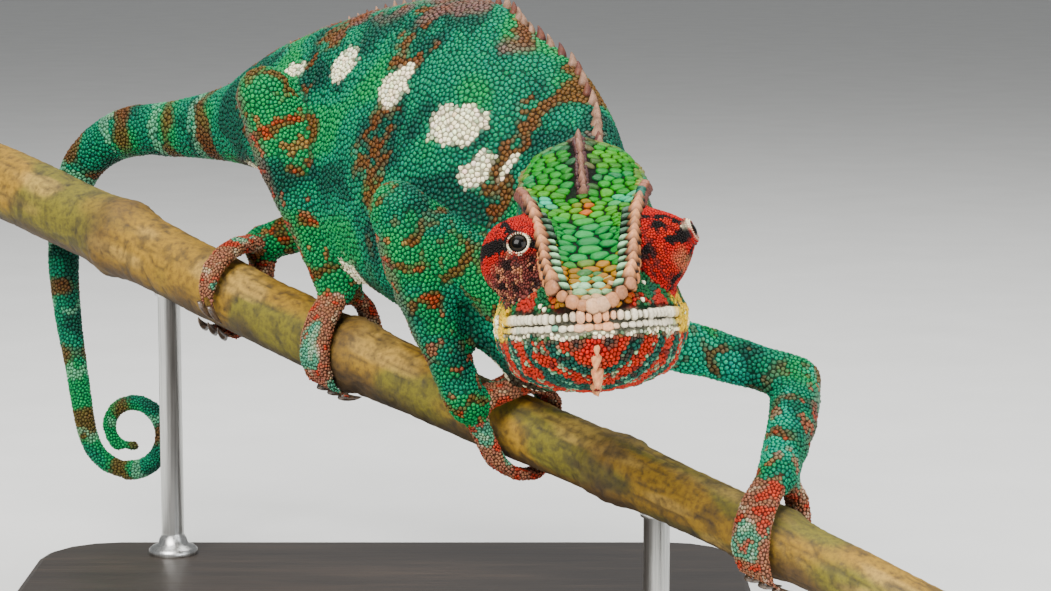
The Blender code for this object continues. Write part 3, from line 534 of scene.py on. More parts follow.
cad_owner = np.concatenate(cad_owner)
cad_tree = BVHTree.FromPolygons(cad_points.tolist(), cad_faces.tolist())
owner_of = {name: i for i, name in enumerate(flesh)}


def owners(points):
    """Number of the CAD flesh node nearest to each point."""
    return np.array([cad_owner[cad_tree.find_nearest(point)[2]] for point in points])


def of(owner, *starts):
    """True where a point's node is named with one of these beginnings."""
    wanted = [i for name, i in owner_of.items() if name.startswith(starts)]
    return np.isin(owner, wanted)


shell_mesh = bpy.data.meshes.new("swollen_flesh")
shell_mesh.from_pydata(((np.concatenate(swollen) - DRAFT) / 1000.0).tolist(), [], cad_faces.tolist())
shell = bpy.data.objects.new("swollen_flesh", shell_mesh)
bpy.context.scene.collection.objects.link(shell)
fuse = shell.modifiers.new("fuse", "REMESH")
fuse.mode = "VOXEL"
fuse.voxel_size = SKIN_GRAIN / 1000.0
bpy.context.view_layer.update()
fused = bpy.data.meshes.new_from_object(shell.evaluated_get(bpy.context.evaluated_depsgraph_get()))
bpy.data.objects.remove(shell)
skin = drafted(read(fused.vertices, "co", 3, np.float32))
skin_faces = read(fused.polygons, "vertices", 4, np.int32)
bpy.data.meshes.remove(fused)
edges = np.concatenate([skin_faces[:, (i, (i + 1) % 4)] for i in range(4)])
skin_owner = owners(skin)
passes = np.full(len(skin), LIMB_PASSES)
for rounds, parts in SMOOTHING:
    passes[of(skin_owner, *parts)] = rounds
coil = np.flatnonzero(of(skin_owner, "tail_curl"))
passes[coil] = np.interp(dense_run[nearest_in(line_tree, skin[coil])] - curl_start, (2.0, 9.0), (14.0, 2.0))
degree = np.bincount(edges[:, 0], minlength=len(skin)).astype(float)


def around(values):
    """Mean of each skin point's neighbours."""
    sums = [np.bincount(edges[:, 0], weights=values[edges[:, 1], i], minlength=len(skin)) for i in range(3)]
    return np.stack(sums, 1) / degree[:, None]


def outward_of(points):
    """Unit normals of the skin's points."""
    first, second, third, fourth = (points[skin_faces[:, i]] for i in range(4))
    cross = np.cross(third - first, fourth - second)
    total = np.zeros_like(points)
    for corner in range(4):
        for i in range(3):
            total[:, i] += np.bincount(skin_faces[:, corner], weights=cross[:, i], minlength=len(points))
    return unit(total)


for step in range(passes.max()):
    skin += (around(skin) - skin) * (0.5 * (step < passes))[:, None]
in_head = to_head(skin)
depth = np.full(len(skin), -(SEAL + COAT_DEPTH))
depth[of(skin_owner, "hand", "foot")] = -(SEAL + 0.3)
face_here = of(skin_owner, "head", "lower_jaw", "casque", "eye_turret")
mouth = face_here & (in_head[:, 1] < MOUTH_CORNER_Y)
depth -= 0.4 * mouth * np.exp(-((in_head[:, 2] - MOUTH_Z) / 0.45) ** 2)
for side in TURRETS:
    along, off, _ = turret_place(in_head, side)
    ring = np.exp(-((along + 1.5) / 2.0) ** 2) * ramp(11.5 - off, 0.0, 2.0) * ramp(off, 5.0, 7.0)
    depth += face_here * ring * 0.26 * np.cos(math.tau * (along + 0.3 * wander(skin, 3.0, 21)) / 1.35)
corner_swell = ((in_head[:, 1] - 7.0) / 4.5) ** 2 + ((in_head[:, 2] - MOUTH_Z - 0.3) / 2.4) ** 2
depth += 0.55 * mouth * np.exp(-corner_swell)
pleats = of(skin_owner, "lower_jaw", "neck") & (in_head[:, 2] < -15.0)
depth += pleats * 0.12 * np.cos(math.tau * in_head[:, 0] / 2.4)
creased = of(skin_owner, "arm", "thigh", "shank")
depth += creased * 0.16 * wander(skin * (1.0, 1.0, 1.6), 3.2, 22)
depth += of(skin_owner, "trunk", "neck") * 0.14 * wander(skin * (1.0, 1.0, 0.4), 5.0, 23)
depth[coil] = -0.3
skin += outward_of(skin) * depth[:, None]
skin += (around(skin) - skin) * 0.35

# The coil of the tail is drawn out to a smooth taper about its own line.
nearest = nearest_in(line_tree, skin[coil])
ahead = unit(dense_line[np.minimum(nearest + 1, line_end)] - dense_line[nearest - 1])
along = np.einsum("ij,ij->i", skin[coil] - dense_line[nearest], ahead) * (nearest < line_end)
middle = dense_line[nearest] + along[:, None] * ahead
coil_run = dense_run[nearest] + along - curl_start
girth = np.interp(coil_run, (0.0, line_run[-1] - curl_start), COIL_GIRTH)
rounded = middle + unit(skin[coil] - middle) * girth[:, None]
skin[coil] += (rounded - skin[coil]) * ramp(coil_run, 0.0, 6.0)[:, None]
for step in range(3):
    skin[coil] += (around(skin)[coil] - skin[coil]) * 0.4
skin_tree = BVHTree.FromPolygons(skin.tolist(), skin_faces.tolist())

# Paints of the hide, from the back's greens to the red throat.
TEAL = pigment(0, 106, 74)
EMERALD = pigment(0, 122, 60)
DEEP_TEAL = pigment(0, 44, 39)
LEAF = pigment(0, 108, 6)
LIME = pigment(54, 124, 0)
AQUA = pigment(0, 114, 50)
SEA = pigment(0, 150, 118)
AMBER = pigment(140, 84, 0)
RUST = pigment(90, 46, 8)
UMBER = pigment(56, 31, 23)
SCARLET = pigment(156, 8, 2)
FLAME = pigment(164, 30, 2)
CREAM = pigment(236, 228, 190)
BUFF = pigment(161, 105, 69)
ROSE_GREY = pigment(101, 72, 65)
MAROON = pigment(57, 17, 15)
INK = pigment(14, 8, 7)
BOTTLE = pigment(6, 40, 36)
MINT = pigment(104, 168, 128)
SULPHUR = pigment(205, 165, 10)
BLOTCHES = ((40.0, 0.28, 2.3), (46.0, 0.17, 3.0), (53.5, 0.33, 3.0), (70.5, 0.44, 3.2), (89.5, 0.56, 3.2),
            (107.0, 0.46, 2.9), (124.0, 0.3, 2.4))   # run back, height, radius
BARS = (37.0, 67.0, 95.0, 122.0)
LID_BANDS = {
    "right": ((0.0, 1.15, 1.5, 20.0), (2.05, 0.85, 1.5, 20.0), (3.05, 1.5, 1.5, 20.0),
              (-1.75, 0.45, 1.5, 20.0)),
    "left": ((-0.1, 1.0, 1.8, 5.6), (0.9, 0.5, 2.0, 20.0), (2.3, 0.9, 1.5, 20.0), (-2.4, 0.9, 1.5, 20.0),
             (-1.25, 0.6, 2.0, 20.0), (-0.1, 1.2, 6.4, 8.4), (0.55, 0.8, 4.6, 6.4)),
}   # turn about the sight line, half width, and how far from that line each starts and ends
CREST_BACK, CREST_WIDE, CREST_HIGH = np.array(CREST_EDGE).T


def crown_share(head):
    """True on top of the head between the crests, and how large the plates are there."""
    x, y, z = head.T
    crest_wide = np.interp(y, CREST_BACK, CREST_WIDE)
    crest_z = np.interp(y, CREST_BACK, CREST_HIGH)
    inside = (np.abs(x) < crest_wide - 0.6) & (z > crest_z - 5.5) & (y < 34.0)
    middle = np.hypot(x, (y + 5.0) * 0.75)
    return inside, np.where(y < 7.0, 2.5 - 0.19 * np.clip(middle - 1.0, 0.0, 6.0), 1.9)


def stripe(value, half, soft):
    """1 where a value is within half of nothing, fading out over soft."""
    return ramp(half - np.abs(value), 0.0, soft)


def wave(value, period):
    """Regular bands, 1 at nothing and at each period."""
    return np.cos(math.tau * value / period)


class Hide:
    """Points of the hide while they are painted, with the random patches that vary the paint."""

    def __init__(self, points, owner):
        self.points = points
        self.owner = owner
        self.patches = [wander(points, size, seed) for size, seed in ((10.0, 31), (4.2, 32), (1.7, 33))]
        self.grit = wander(points, 0.7, 38)
        self.head = to_head(points)
        self.face = of(owner, "head", "casque", "lower_jaw", "eye_turret")
        self.colour = np.tile(TEAL, (len(points), 1))

    def lay(self, mask, paint):
        wash(self.colour, mask, paint)


def paint_body(piece):
    """Greens all over, then rust bars, pale blotches, the back line, the belly and the ringed tail."""
    lay, owner = piece.lay, piece.owner
    broad, medium, fine = piece.patches
    run, rise, tall, _ = along_body(piece.points)
    lay(ramp(broad, 0.0, 0.6) * 0.8, EMERALD)
    lay(ramp(-broad + 0.4 * medium, 0.1, 0.7) * 0.75, DEEP_TEAL)
    torso = of(owner, "trunk", "neck")
    for at in BARS:
        slant = run - at - 7.0 * rise + 3.2 * medium
        bar = stripe(slant + 1.5 * broad, 3.6, 1.6)
        lay(torso * bar * ramp(rise, -0.75, -0.2) * ramp(fine + broad, -1.1, -0.3) * 0.9, RUST)
        lay(torso * stripe(slant, 5.6, 1.6) * (1.0 - bar) * 0.5, DEEP_TEAL)
    lay(torso * ramp(rise + 0.12 * medium, 0.83, 0.97) * 0.85, ROSE_GREY)
    lay(torso * ramp(rise + 0.1 * broad, 0.8, 0.9) * ramp(fine + medium, 0.1, 0.7) * 0.8, RUST)
    lay(torso * ramp(-rise + 0.2 * medium, 0.62, 0.9) * 0.8, UMBER)
    belly = ramp(wave(run - 12.0, 17.0) + 0.5 * medium, 0.1, 0.5)
    lay(torso * ramp(-rise + 0.1 * medium + 0.06 * fine, 0.66, 0.78) * belly, CREAM)
    ragged = 0.5 * medium + 0.4 * fine + 0.25 * piece.grit
    for at, high, size in BLOTCHES:
        reach = np.hypot((run - at) / np.interp(at, (55.0, 100.0), (1.0, 1.45)), (rise - high) * tall * 0.85)
        lay(torso * ramp(size + ragged - reach, -0.35, 0.35), CREAM)
    tail = of(owner, "tail")
    lay(tail * ramp(wave(run, 15.0) + 0.5 * medium, 0.25, 0.8) * 0.8, RUST)
    lay(tail * ramp(wave(run - 4.0, 15.0) + 0.3 * fine, 0.75, 0.95) * 0.5, MINT)


def paint_limbs(piece):
    """Banded green limbs, paler outside, and flame-red feet with sea-green patches."""
    lay, owner = piece.lay, piece.owner
    broad, medium, fine = piece.patches
    for key, joints in LIMBS.items():
        kind, side = key.split("_")
        names = ("arm_upper_", "arm_fore_") if kind == "arm" else ("thigh_", "shank_")
        for name, start, stop, lower in zip(names, joints, joints[1:], (False, True)):
            here = of(owner, name + side)
            start = np.array(start)
            length = np.linalg.norm(stop - start)
            heading = (stop - start) / length
            offset = piece.points - start
            at = offset @ heading + length * lower
            lay(here * ramp(medium + 0.5 * broad, -0.3, 0.5) * 0.7, SEA if key == "arm_left" else EMERALD)
            band = ramp(wave(at + 1.6 * medium, 9.5) + 0.4 * fine, 0.55, 0.85)
            lay(here * band * ramp(broad + medium, -0.9, 0.1) * 0.85, RUST)
            outer = (offset - np.outer(offset @ heading, heading))[:, 0] * (-1.0 if side == "right" else 1.0)
            lay(here * ramp(outer + 0.8 * medium, 2.8, 5.0) * 0.55, ROSE_GREY)
            lay(here * ramp(fine, 0.62, 0.85) * 0.5, FLAME if lower else RUST)
    feet = of(owner, "hand", "foot")
    lay(feet * 0.9, pigment(142, 84, 62))
    lay(feet * ramp(medium, 0.1, 0.5) * 0.75, SEA)
    lay(feet * ramp(fine + 0.4 * medium, 0.2, 0.55) * 0.8, FLAME)
    lay(feet * ramp(-fine, 0.7, 0.95) * 0.2, CREAM)


def paint_head(piece):
    """Sides of the head, then its crown and its helmet at the back.  Gives where the crown is."""
    lay, face = piece.lay, piece.face
    _, medium, fine = piece.patches
    x, y, z = piece.head.T
    wide = np.abs(x)
    crest_wide = np.interp(y, CREST_BACK, CREST_WIDE)
    crest_z = np.interp(y, CREST_BACK, CREST_HIGH)
    lay(face, pigment(12, 79, 41))
    lay(face * ramp(medium, 0.0, 0.5) * 0.8, pigment(4, 63, 54))
    lay(face * ramp(fine + 0.5 * medium, 0.25, 0.6) * 0.85, FLAME)
    under_crest = face * stripe(z - crest_z + 2.6, 1.9, 0.9) * ramp(-y, 2.0, 6.0)
    lay(under_crest * ramp(wide - crest_wide, -2.0, -0.6), SCARLET)
    over_lip = face * stripe(z - MOUTH_Z - 3.6 + 0.7 * medium, 1.4, 0.8)
    lay(over_lip * ramp(fine + medium, -0.4, 0.2) * 0.9, pigment(151, 20, 7))
    crown = face * ramp(crest_wide - 0.6 - wide, 0.0, 0.9) * ramp(z - (crest_z - 5.5), 0.0, 1.0)
    lay(crown, LEAF)
    lay(crown * ramp(8.5 - np.hypot(x + 0.3, (y + 5.0) * 0.8), 0.0, 5.0) * 0.85, AQUA)
    lay(crown * ramp(wide + 0.7 * y + 2.0 * medium, 3.4, 7.0) * ramp(7.0 - y, 0.0, 3.0) * 0.75, LIME)
    between = ramp(y + 2.0 * fine, -1.0, 2.0) * ramp(6.0 - y, 0.0, 2.0)
    lay(crown * between * ramp(5.5 - wide, 0.0, 2.0) * 0.6, LIME)
    lay(crown * ramp(-y + 1.2 * fine, 9.6, 11.6) * 0.85, AMBER)
    lay(crown * ramp(wide - crest_wide + 3.2 + fine, 0.4, 1.4) * ramp(8.0 - y, 0.0, 3.0) * 0.55, AMBER)
    lay(crown * ramp(2.6 - np.hypot(wide - 7.0, y - 5.5), 0.0, 1.5) * 0.8, SEA)
    lay(crown * ramp(1.9 - np.hypot(x - 0.2, y - 4.2), 0.0, 0.8) * 0.9, pigment(158, 73, 0))
    helmet = crown * ramp(y, 6.5, 9.0)
    lay(helmet, pigment(0, 108, 12))
    lay(helmet * ramp(medium, 0.1, 0.6) * 0.8, pigment(0, 116, 62))
    lay(helmet * ramp(-medium + 0.4 * fine, 0.35, 0.8) * 0.7, LIME)
    lay(helmet * ramp(y, 24.0, 32.0) * 0.5, BUFF)
    lay(helmet * ramp(wide - crest_wide + 2.4, 0.0, 1.6) * 0.6, BUFF)
    lay(helmet * ramp(3.6 - wide, 0.0, 1.4) * ramp(fine, -0.6, 0.1) * 0.7, pigment(37, 24, 27))
    keel = ramp(1.5 - wide, 0.0, 0.5) * ramp(z - crest_z, -3.0, 0.0) * ramp(y, 6.0, 8.0)
    lay(face * keel, pigment(113, 75, 67))
    lay(of(piece.owner, "casque", "head") * ramp(y, 30.0, 35.0) * 0.7, BUFF)
    temple = face * (1.0 - crown) * ramp(y, 9.0, 12.0) * ramp(z, -8.0, -4.0)
    lay(temple * 0.8, pigment(0, 88, 60))
    lay(temple * ramp(np.abs(medium), 0.3, 0.05) * 0.8, RUST)
    return crown


def paint_mouth(piece):
    """Lips, and the banded red throat with its two dark spots."""
    lay, face = piece.lay, piece.face
    _, medium, fine = piece.patches
    x, y, z = piece.head.T
    lip_high = z - MOUTH_Z
    gape = face * ramp(15.0 - y, 0.0, 2.0)
    lay(gape * ramp(1.75 - np.abs(lip_high - 0.1) + 0.3 * fine, 0.0, 0.4), CREAM)
    lay(gape * ramp(lip_high + 2.5 + 0.7 * fine, 0.0, 0.4) * ramp(-lip_high, 0.0, 0.5), CREAM)
    corner = gape * ramp(y, -4.5, -1.5) * stripe(lip_high + 0.2, 4.4, 1.0)
    lay(corner * ramp(fine + 0.3 * medium, -0.6, -0.1), SULPHUR)
    jaw = of(piece.owner, "lower_jaw", "head", "neck") * ramp(-lip_high, 2.2, 3.0)
    lay(jaw * ramp(30.0 - y, 0.0, 6.0), FLAME)
    chin = np.sqrt(x ** 2 + (z + 13.0) ** 2 + (0.5 * (y + 17.0)) ** 2) + 0.5 * medium + 0.25 * fine
    lay(jaw * ramp(5.4 - chin, 0.0, 0.8), pigment(164, 11, 0))
    band = ramp(wave(chin - 7.2, 4.1) + 0.35 * fine, 0.12, 0.42)
    lay(jaw * band * ramp(chin, 5.2, 6.0) * ramp(26.0 - y, 0.0, 6.0), pigment(6, 68, 55))
    throat = jaw * ramp(chin, 5.0, 6.5)
    lay(throat * ramp(wander(piece.points, 0.9, 34), 0.5, 0.75) * 0.75, MINT)
    lay(throat * ramp(wander(piece.points, 1.1, 35), 0.55, 0.8) * 0.7, MAROON)
    for spot in (-2.9, 2.4):
        dot = np.hypot(x - spot, z + 15.4)
        lay(jaw * (y < -10.0) * ramp(1.6 - dot, 0.0, 0.35) * 0.75, pigment(71, 60, 42))
        lay(jaw * (y < -10.0) * ramp(0.8 - dot, 0.0, 0.3) * 0.8, BOTTLE)


def paint_turrets(piece, crown):
    """Scarlet eye turrets with broken dark bands, umber and buff beneath on the right."""
    lay, points, grit = piece.lay, piece.points, piece.grit
    _, medium, fine = piece.patches
    for side in TURRETS:
        along, off, turn = turret_place(piece.head, side)
        near_lid = piece.face & (along > -3.5) & (off < 8.6)
        lid = (of(piece.owner, "eye_turret_" + side) | near_lid) & (crown < 0.3)
        lay(lid, SCARLET)
        lay(lid * ramp(fine, 0.35, 0.8) * 0.5, FLAME)
        lay(lid * ramp(grit + 0.4 * fine, 0.5, 0.8) * 0.6, MAROON)
        lay(lid * ramp(-grit + 0.3 * fine, 0.62, 0.85) * 0.5, FLAME)
        for at, half, near, far in LID_BANDS[side]:
            swing = np.angle(np.exp(1j * (turn - at)))
            across = np.abs(off * np.sin(swing)) + 10.0 * (np.abs(swing) > 1.5)
            within = ramp(off, near, near + 0.5) * ramp(far - off + 0.5 * fine, 0.0, 0.5)
            lay(lid * ramp(half + 0.34 * fine + 0.4 * grit - across, 0.0, 0.3) * within, INK)
        crease = ramp(wave(along, 1.3) + 0.4 * fine, 0.5, 0.9) * stripe(along - 0.6, 2.0, 1.0)
        lay(lid * crease * 0.6, pigment(66, 34, 30))
        if side == "right":
            low = lid * ramp(-np.sin(turn), 0.35, 0.75) * ramp(off, 1.6, 3.0)
            lay(low * 0.85, pigment(77, 47, 41))
            lay(low * ramp(wander(points, 0.8, 36), 0.25, 0.5), pigment(162, 102, 72))
            lay(low * ramp(-wander(points, 0.9, 37), 0.3, 0.55), pigment(32, 15, 13))
        else:
            tip = ramp(2.5 + 0.5 * fine - off, 0.0, 0.6) * ramp(along, 5.5, 6.5)
            lay(lid * tip * ramp(np.cos(turn - 0.9), 0.6, 0.9) * 0.8, CREAM)
            hem = ramp(-np.sin(turn), 0.3, 0.7) * ramp(np.cos(turn), -0.2, 0.2)
            lay(lid * hem * ramp(off, 3.4, 4.2) * ramp(6.2 - off, 0.0, 0.8) * 0.5, BUFF)
        lay(lid * ramp(-along + 0.5 * medium, 1.0, 2.2) * 0.8, pigment(59, 31, 27))


def markings(points, owner):
    """The colour of the hide at each point."""
    piece = Hide(points, owner)
    paint_body(piece)
    paint_limbs(piece)
    crown = paint_head(piece)
    paint_mouth(piece)
    paint_turrets(piece, crown)
    return piece.colour


in_head = to_head(skin)
# Painted shade: the skin is darkened where it shows between the scales, most under the crown plates and along
# the mouth line.
under_plates = crown_share(in_head)[0] & of(skin_owner, "head", "casque")
lip_gap = np.abs(in_head[:, 2] - MOUTH_Z - 0.2) < 1.6
lip_gap &= (in_head[:, 1] < 0.0) & of(skin_owner, "head", "lower_jaw")
painted_gap_shade = np.where(under_plates, 0.06, np.where(lip_gap, 0.1, 0.36))
skin_colour = markings(skin, skin_owner) * painted_gap_shade[:, None]
hide, shader, place = new_finish("hide", Subsurface_Weight=0.04, Subsurface_Radius=(0.002, 0.001, 0.0008),
                                 Specular_IOR_Level=0.08)
pits = place.node("ShaderNodeTexVoronoi", {"feature": "F1"}, {"Vector": place, "Scale": 1900.0}, "Distance")
painted_under(shader, graded(pits, (0.1, (1.0, 1.0, 1.0)), (0.7, (0.45, 0.45, 0.45))))
(0.5 + pits * 0.3).feed(shader, "Roughness")
raised(shader, pits, 0.5, 0.0002, invert=True)
build("skin", skin, skin_faces.reshape(-1), np.full(len(skin_faces), 4), hide, "body_skin", flesh,
      skin_colour)

# ==== Horny crests ============================================================================
# Rows of pointed tubercles on the brows, round the snout, down the middle of the casque and along
# its edges.  Each is a separate horny cone set in the skin, buff to mint, with painted shade in the gaps
# between.

MOST_TRIANGLES = 200000
HORN_LEVELS = ((1.0, -0.45), (0.97, 0.12), (0.78, 0.5), (0.46, 0.84))
PATCH = 0.0015   # half the width of one scale's patch on the unwrap


def on_skin(points):
    """Nearest points of the skin and their outward directions."""
    found = [skin_tree.find_nearest(point) for point in points]
    return np.array([hit[0] for hit in found]), np.array([hit[1] for hit in found])


def level_with(leads, outs):
    """Directions laid down flat on the skin."""
    return unit(leads - outs * np.einsum("ij,ij->i", leads, outs)[:, None])


def pebbles(seats, outs, leads, reach, heights, levels, tilt=0.0):
    """Closed scales: an outline round each seat, narrowed and raised level by level to a rounded top.

    Gives points, corners, face sizes, the painted shade of each point, darker towards its foot, and each
    corner's place in its patch.
    """
    count, sides = reach.shape
    turn = turns(sides)
    spokes = leads[:, None] * np.cos(turn)[:, None] + np.cross(outs, leads)[:, None] * np.sin(turn)[:, None]
    rows = []
    for share, rise in levels:
        ring = seats[:, None] + spokes * (reach * share)[..., None]
        ring = ring + (outs * (heights * rise)[:, None])[:, None]
        rows.append(ring + outs[:, None] * (reach * share * np.cos(turn) * tilt * max(rise, 0.0))[..., None])
    points = np.concatenate(rows + [(seats + outs * heights[:, None])[:, None]], 1)
    last = (len(levels) - 1) * sides
    this = np.arange(sides)
    faces = [this[::-1]] + [wall(low, low + sides, sides) for low in range(0, last, sides)]
    lid = np.stack((this + last, (this + 1) % sides + last, np.full(sides, last + sides)), 1)
    one = np.concatenate(faces + [lid.reshape(-1)])
    sizes = [sides] + [4] * last + [3] * sides
    # Painted shade: each level of a scale is darker the lower it stands, darkest at its sunk foot, so the
    # gaps between scales read dark.
    shade = [np.full(sides, 0.22 if rise < 0.0 else 0.5 + 0.5 * min(1.0, rise / 0.6)) for _, rise in levels]
    disc = np.stack((np.cos(turn), np.sin(turn)), 1) * PATCH
    patch = np.concatenate([disc * share for share, _ in levels] + [[[0.0, 0.0]]])[one]
    patch[:sides] = patch[:sides] * 0.1 + (PATCH * 1.2, 0.0)
    corners = (one[None] + (np.arange(count) * points.shape[1])[:, None]).reshape(-1)
    shade = np.tile(np.concatenate(shade + [[1.0]]), count)
    return points.reshape(-1, 3), corners, np.tile(sizes, count), shade, np.tile(patch, (count, 1))


node_frames = {}
for number, name in enumerate(flesh):
    cloud = cad_points[np.unique(cad_faces[cad_owner == number])]
    centre = cloud.mean(0)
    axes = np.linalg.svd(cloud - centre, full_matrices=False)[2]
    node_frames[number] = (centre, axes, (cloud - centre) @ axes[0])


def unwrap(points, owner):
    """Place of each root on an unwrap of the skin: one cell for each part, opened along its long axis."""
    present = np.unique(owner)
    columns = math.ceil(math.sqrt(len(present)))
    rows = math.ceil(len(present) / columns)
    places = np.zeros((len(points), 2))
    for cell, number in enumerate(present):
        here = owner == number
        centre, axes, reach = node_frames[number]
        offset = (points[here] - centre) @ axes.T
        around_axis = np.arctan2(offset[:, 2], offset[:, 1]) / math.tau + 0.5
        along_axis = np.clip((offset[:, 0] - reach.min()) / np.ptp(reach), 0.0, 1.0)
        places[here, 0] = (cell % columns + 0.04 + 0.92 * around_axis) / columns
        places[here, 1] = (cell // columns + 0.04 + 0.92 * along_axis) / rows
    return places


def coat(name, batches, finish, slot):
    """One piece of the coat from batches of (pebbles, seats, owners, colours)."""
    parts = []
    shades = []
    patches = []
    for made, seats, owner, colours in batches:
        points, corners, sizes, shade, patch = made
        parts.append((points, corners, sizes))
        shades.append(np.repeat(colours, len(points) // len(seats), axis=0) * shade[:, None])
        patches.append(patch + np.repeat(unwrap(seats, owner), len(corners) // len(seats), axis=0))
    points, corners, sizes = joined(parts)
    assert (sizes - 2).sum() < MOST_TRIANGLES, name
    build(name, points, corners, sizes, finish, slot, (), np.concatenate(shades), np.concatenate(patches))


def scale_finish(name, roughness, sheen_grain, coat_weight):
    """Painted scale: its marking broken by fine growth lines, under a thin satin varnish."""
    material, shader, place = new_finish(name, Coat_Weight=coat_weight, Coat_Roughness=0.25,
                                         Specular_IOR_Level=0.1)
    grain = noise(place, sheen_grain, 4.0, 0.6)
    painted_under(shader, graded(grain, (0.3, (0.72, 0.72, 0.72)), (0.5, (1.0, 1.0, 1.0)),
                                 (0.72, (1.22, 1.22, 1.2))))
    (grain * 0.3 + (roughness - 0.15)).feed(shader, "Roughness")
    raised(shader, grain, 0.3, 0.0001)
    return material


def spaced(path, pitch):
    """Points at even steps along a path."""
    path = np.asarray(path, float)
    run = run_of(path)
    return along_path(np.arange(pitch / 2.0, run[-1], pitch), run, path)


def oblong(count, along, across, power):
    """Outlines like a rounded rectangle with these half sizes along and across the lead."""
    turn = turns(12)
    outline = np.abs(np.cos(turn) / along) ** power + np.abs(np.sin(turn) / across) ** power
    return np.tile(outline ** (-1.0 / power), (count, 1))


PEAK = ((1.0, -0.6), (1.0, -0.1), (0.84, 0.22), (0.5, 0.62), (0.2, 0.93))
RIB = ((1.0, -1.2), (0.97, 0.2), (0.75, 0.75))
BRIM_LEVELS = ((1.0, -0.8), (0.98, 0.1), (0.84, 0.6), (0.55, 0.9))
BRIM_SCALES = 9
BUFF_HORN = pigment(184, 124, 80)
PINK_HORN = pigment(128, 82, 64)
MINT_HORN = pigment(128, 172, 128)
UPRIGHT = np.array((0.0, 0.0, 1.0))
FORWARD_UP = np.array((0.0, -0.75, 0.65))
CROWN_MIDDLE = (0.0, -9.0, 0.0)
dice = np.random.default_rng(5)
taken = []   # (seat, radius) of every special scale, where no common scale stands
horn = scale_finish("horny_crest", 0.42, 2600.0, 0.12)
crest_batches = []


def set_horn(seats, outs, leads, halves, height, paint, power, jitter, levels, depth, uneven, tilt, room):
    """Adds tubercles with these half sizes; depth deepens the painted shade at their feet."""
    size = 1.0 + jitter * dice.standard_normal(len(seats)).clip(-2.0, 2.0)
    reach = oblong(len(seats), *halves, power) * size[:, None]
    reach *= 1.0 + uneven * dice.standard_normal(reach.shape)
    colours = paint * (1.0 + (uneven + 0.07) * dice.standard_normal(len(seats)))[:, None].clip(0.6, 1.3)
    points, corners, sizes, shade, patch = pebbles(seats, outs, leads, reach, height * size, levels, tilt)
    crest_batches.append(((points, corners, sizes, shade ** depth, patch), seats, owners(seats),
                          colours.clip(0.0, 1.0)))
    taken.extend(zip(seats, np.full(len(seats), room)))


def crest_row(path, pitch, halves, height, paint, jitter=0.1):
    """One row of peaks on the skin along a path in the head's frame, leaning away from its middle."""
    points = spaced(path, pitch)
    seats, outs = on_skin(from_head(points))
    leads = level_with((points - CROWN_MIDDLE) @ HEAD_POSE[:3, :3].T, outs)
    set_horn(seats, outs, leads, halves, height, paint, 2.6, jitter, PEAK, 1.0, 0.06, 0.12, max(halves))


def crest_scales(points, outs, leads, halves, height, paint, power, jitter, levels, depth=1.2):
    """Tubercles that stand at points of the head's frame."""
    outs = unit(np.broadcast_to(outs, points.shape) @ HEAD_POSE[:3, :3].T)
    leads = level_with(np.broadcast_to(leads, points.shape) @ HEAD_POSE[:3, :3].T, outs)
    set_horn(from_head(points), outs, leads, halves, height, paint, power, jitter, levels, depth, 0.05, 0.0,
             min(halves))


edge = np.stack((CREST_WIDE, CREST_BACK, CREST_HIGH), 1)
for flank in (-1.0, 1.0):
    outside = np.array((flank, 0.0, 0.0))
    sided = edge * (flank, 1.0, 1.0)

    # Ribs like twisted rope over the eyes, and a lower row outside them.
    rope = spaced(sided[(sided[:, 1] > -3.0) & (sided[:, 1] < 13.0)], 0.68)
    back = rope[:, 1:2]
    along_rope = unit(np.gradient(rope, axis=0)) + outside * 0.3
    tone = np.where(back < 1.0, pigment(49, 126, 93), PINK_HORN)
    tone = np.where((flank > 0.0) & (back > 1.0) & (back < 5.0), pigment(34, 86, 71), tone)
    crest_scales(rope - outside * 0.75 - UPRIGHT * 0.2, UPRIGHT + outside * 0.3, along_rope, (0.33, 0.84),
                 0.62, tone, 2.6, 0.07, RIB)
    crest_scales(rope + outside * 0.02 - UPRIGHT * 1.0, UPRIGHT * 0.35 + outside, along_rope, (0.36, 0.8),
                 0.35, pigment(91, 56, 49), 2.6, 0.1, RIB)

    # Overlapping peaks from the eyes to the snout, mint scales inside them and low ones outside.
    peaks = spaced(sided[(sided[:, 1] > -18.0) & (sided[:, 1] < 2.5)][::-1], 2.0)
    paint = np.tile(BUFF_HORN, (len(peaks), 1))
    wash(paint, dice.random(len(peaks)) * 0.55, PINK_HORN)
    wash(paint, ramp(peaks[:, 1], -3.0, 2.0) * 0.7, pigment(132, 96, 76))
    crest_scales(peaks - outside * 0.7, UPRIGHT + outside * 0.22 + (0.0, -0.1, 0.0),
                 unit(np.gradient(peaks, axis=0)), (0.72, 1.32), 1.75, paint, 1.8, 0.1, PEAK, 2.4)
    inner = peaks - outside * 2.35 + (0.0, -1.1, -0.7)
    inner = inner[(np.abs(inner[:, 0]) > 1.6) & (inner[:, 1] < -1.0)]
    mint = np.where(inner[:, 1:2] > -7.0, pigment(54, 81, 61), MINT_HORN)
    crest_scales(inner, UPRIGHT * 0.9 + (flank * 0.1, -0.4, 0.0), (-flank * 0.9, -0.62, -0.55), (1.25, 0.48),
                 0.5, mint, 2.0, 0.16, RIB, 2.2)
    low = peaks[(peaks[:, 1] < -2.0) & (peaks[:, 1] > -16.5)]
    crest_scales(low + outside * 0.05 - UPRIGHT * 1.5, outside + (0.0, -0.5, 0.1), (0.0, -0.5, -1.0),
                 (0.95, 0.62), 0.5, pigment(160, 100, 58), 2.0, 0.14, RIB, 2.0)
    crest_row(sided[sided[:, 1] > 12.0], 1.3, (0.62, 0.68), 0.7, pigment(101, 96, 54))

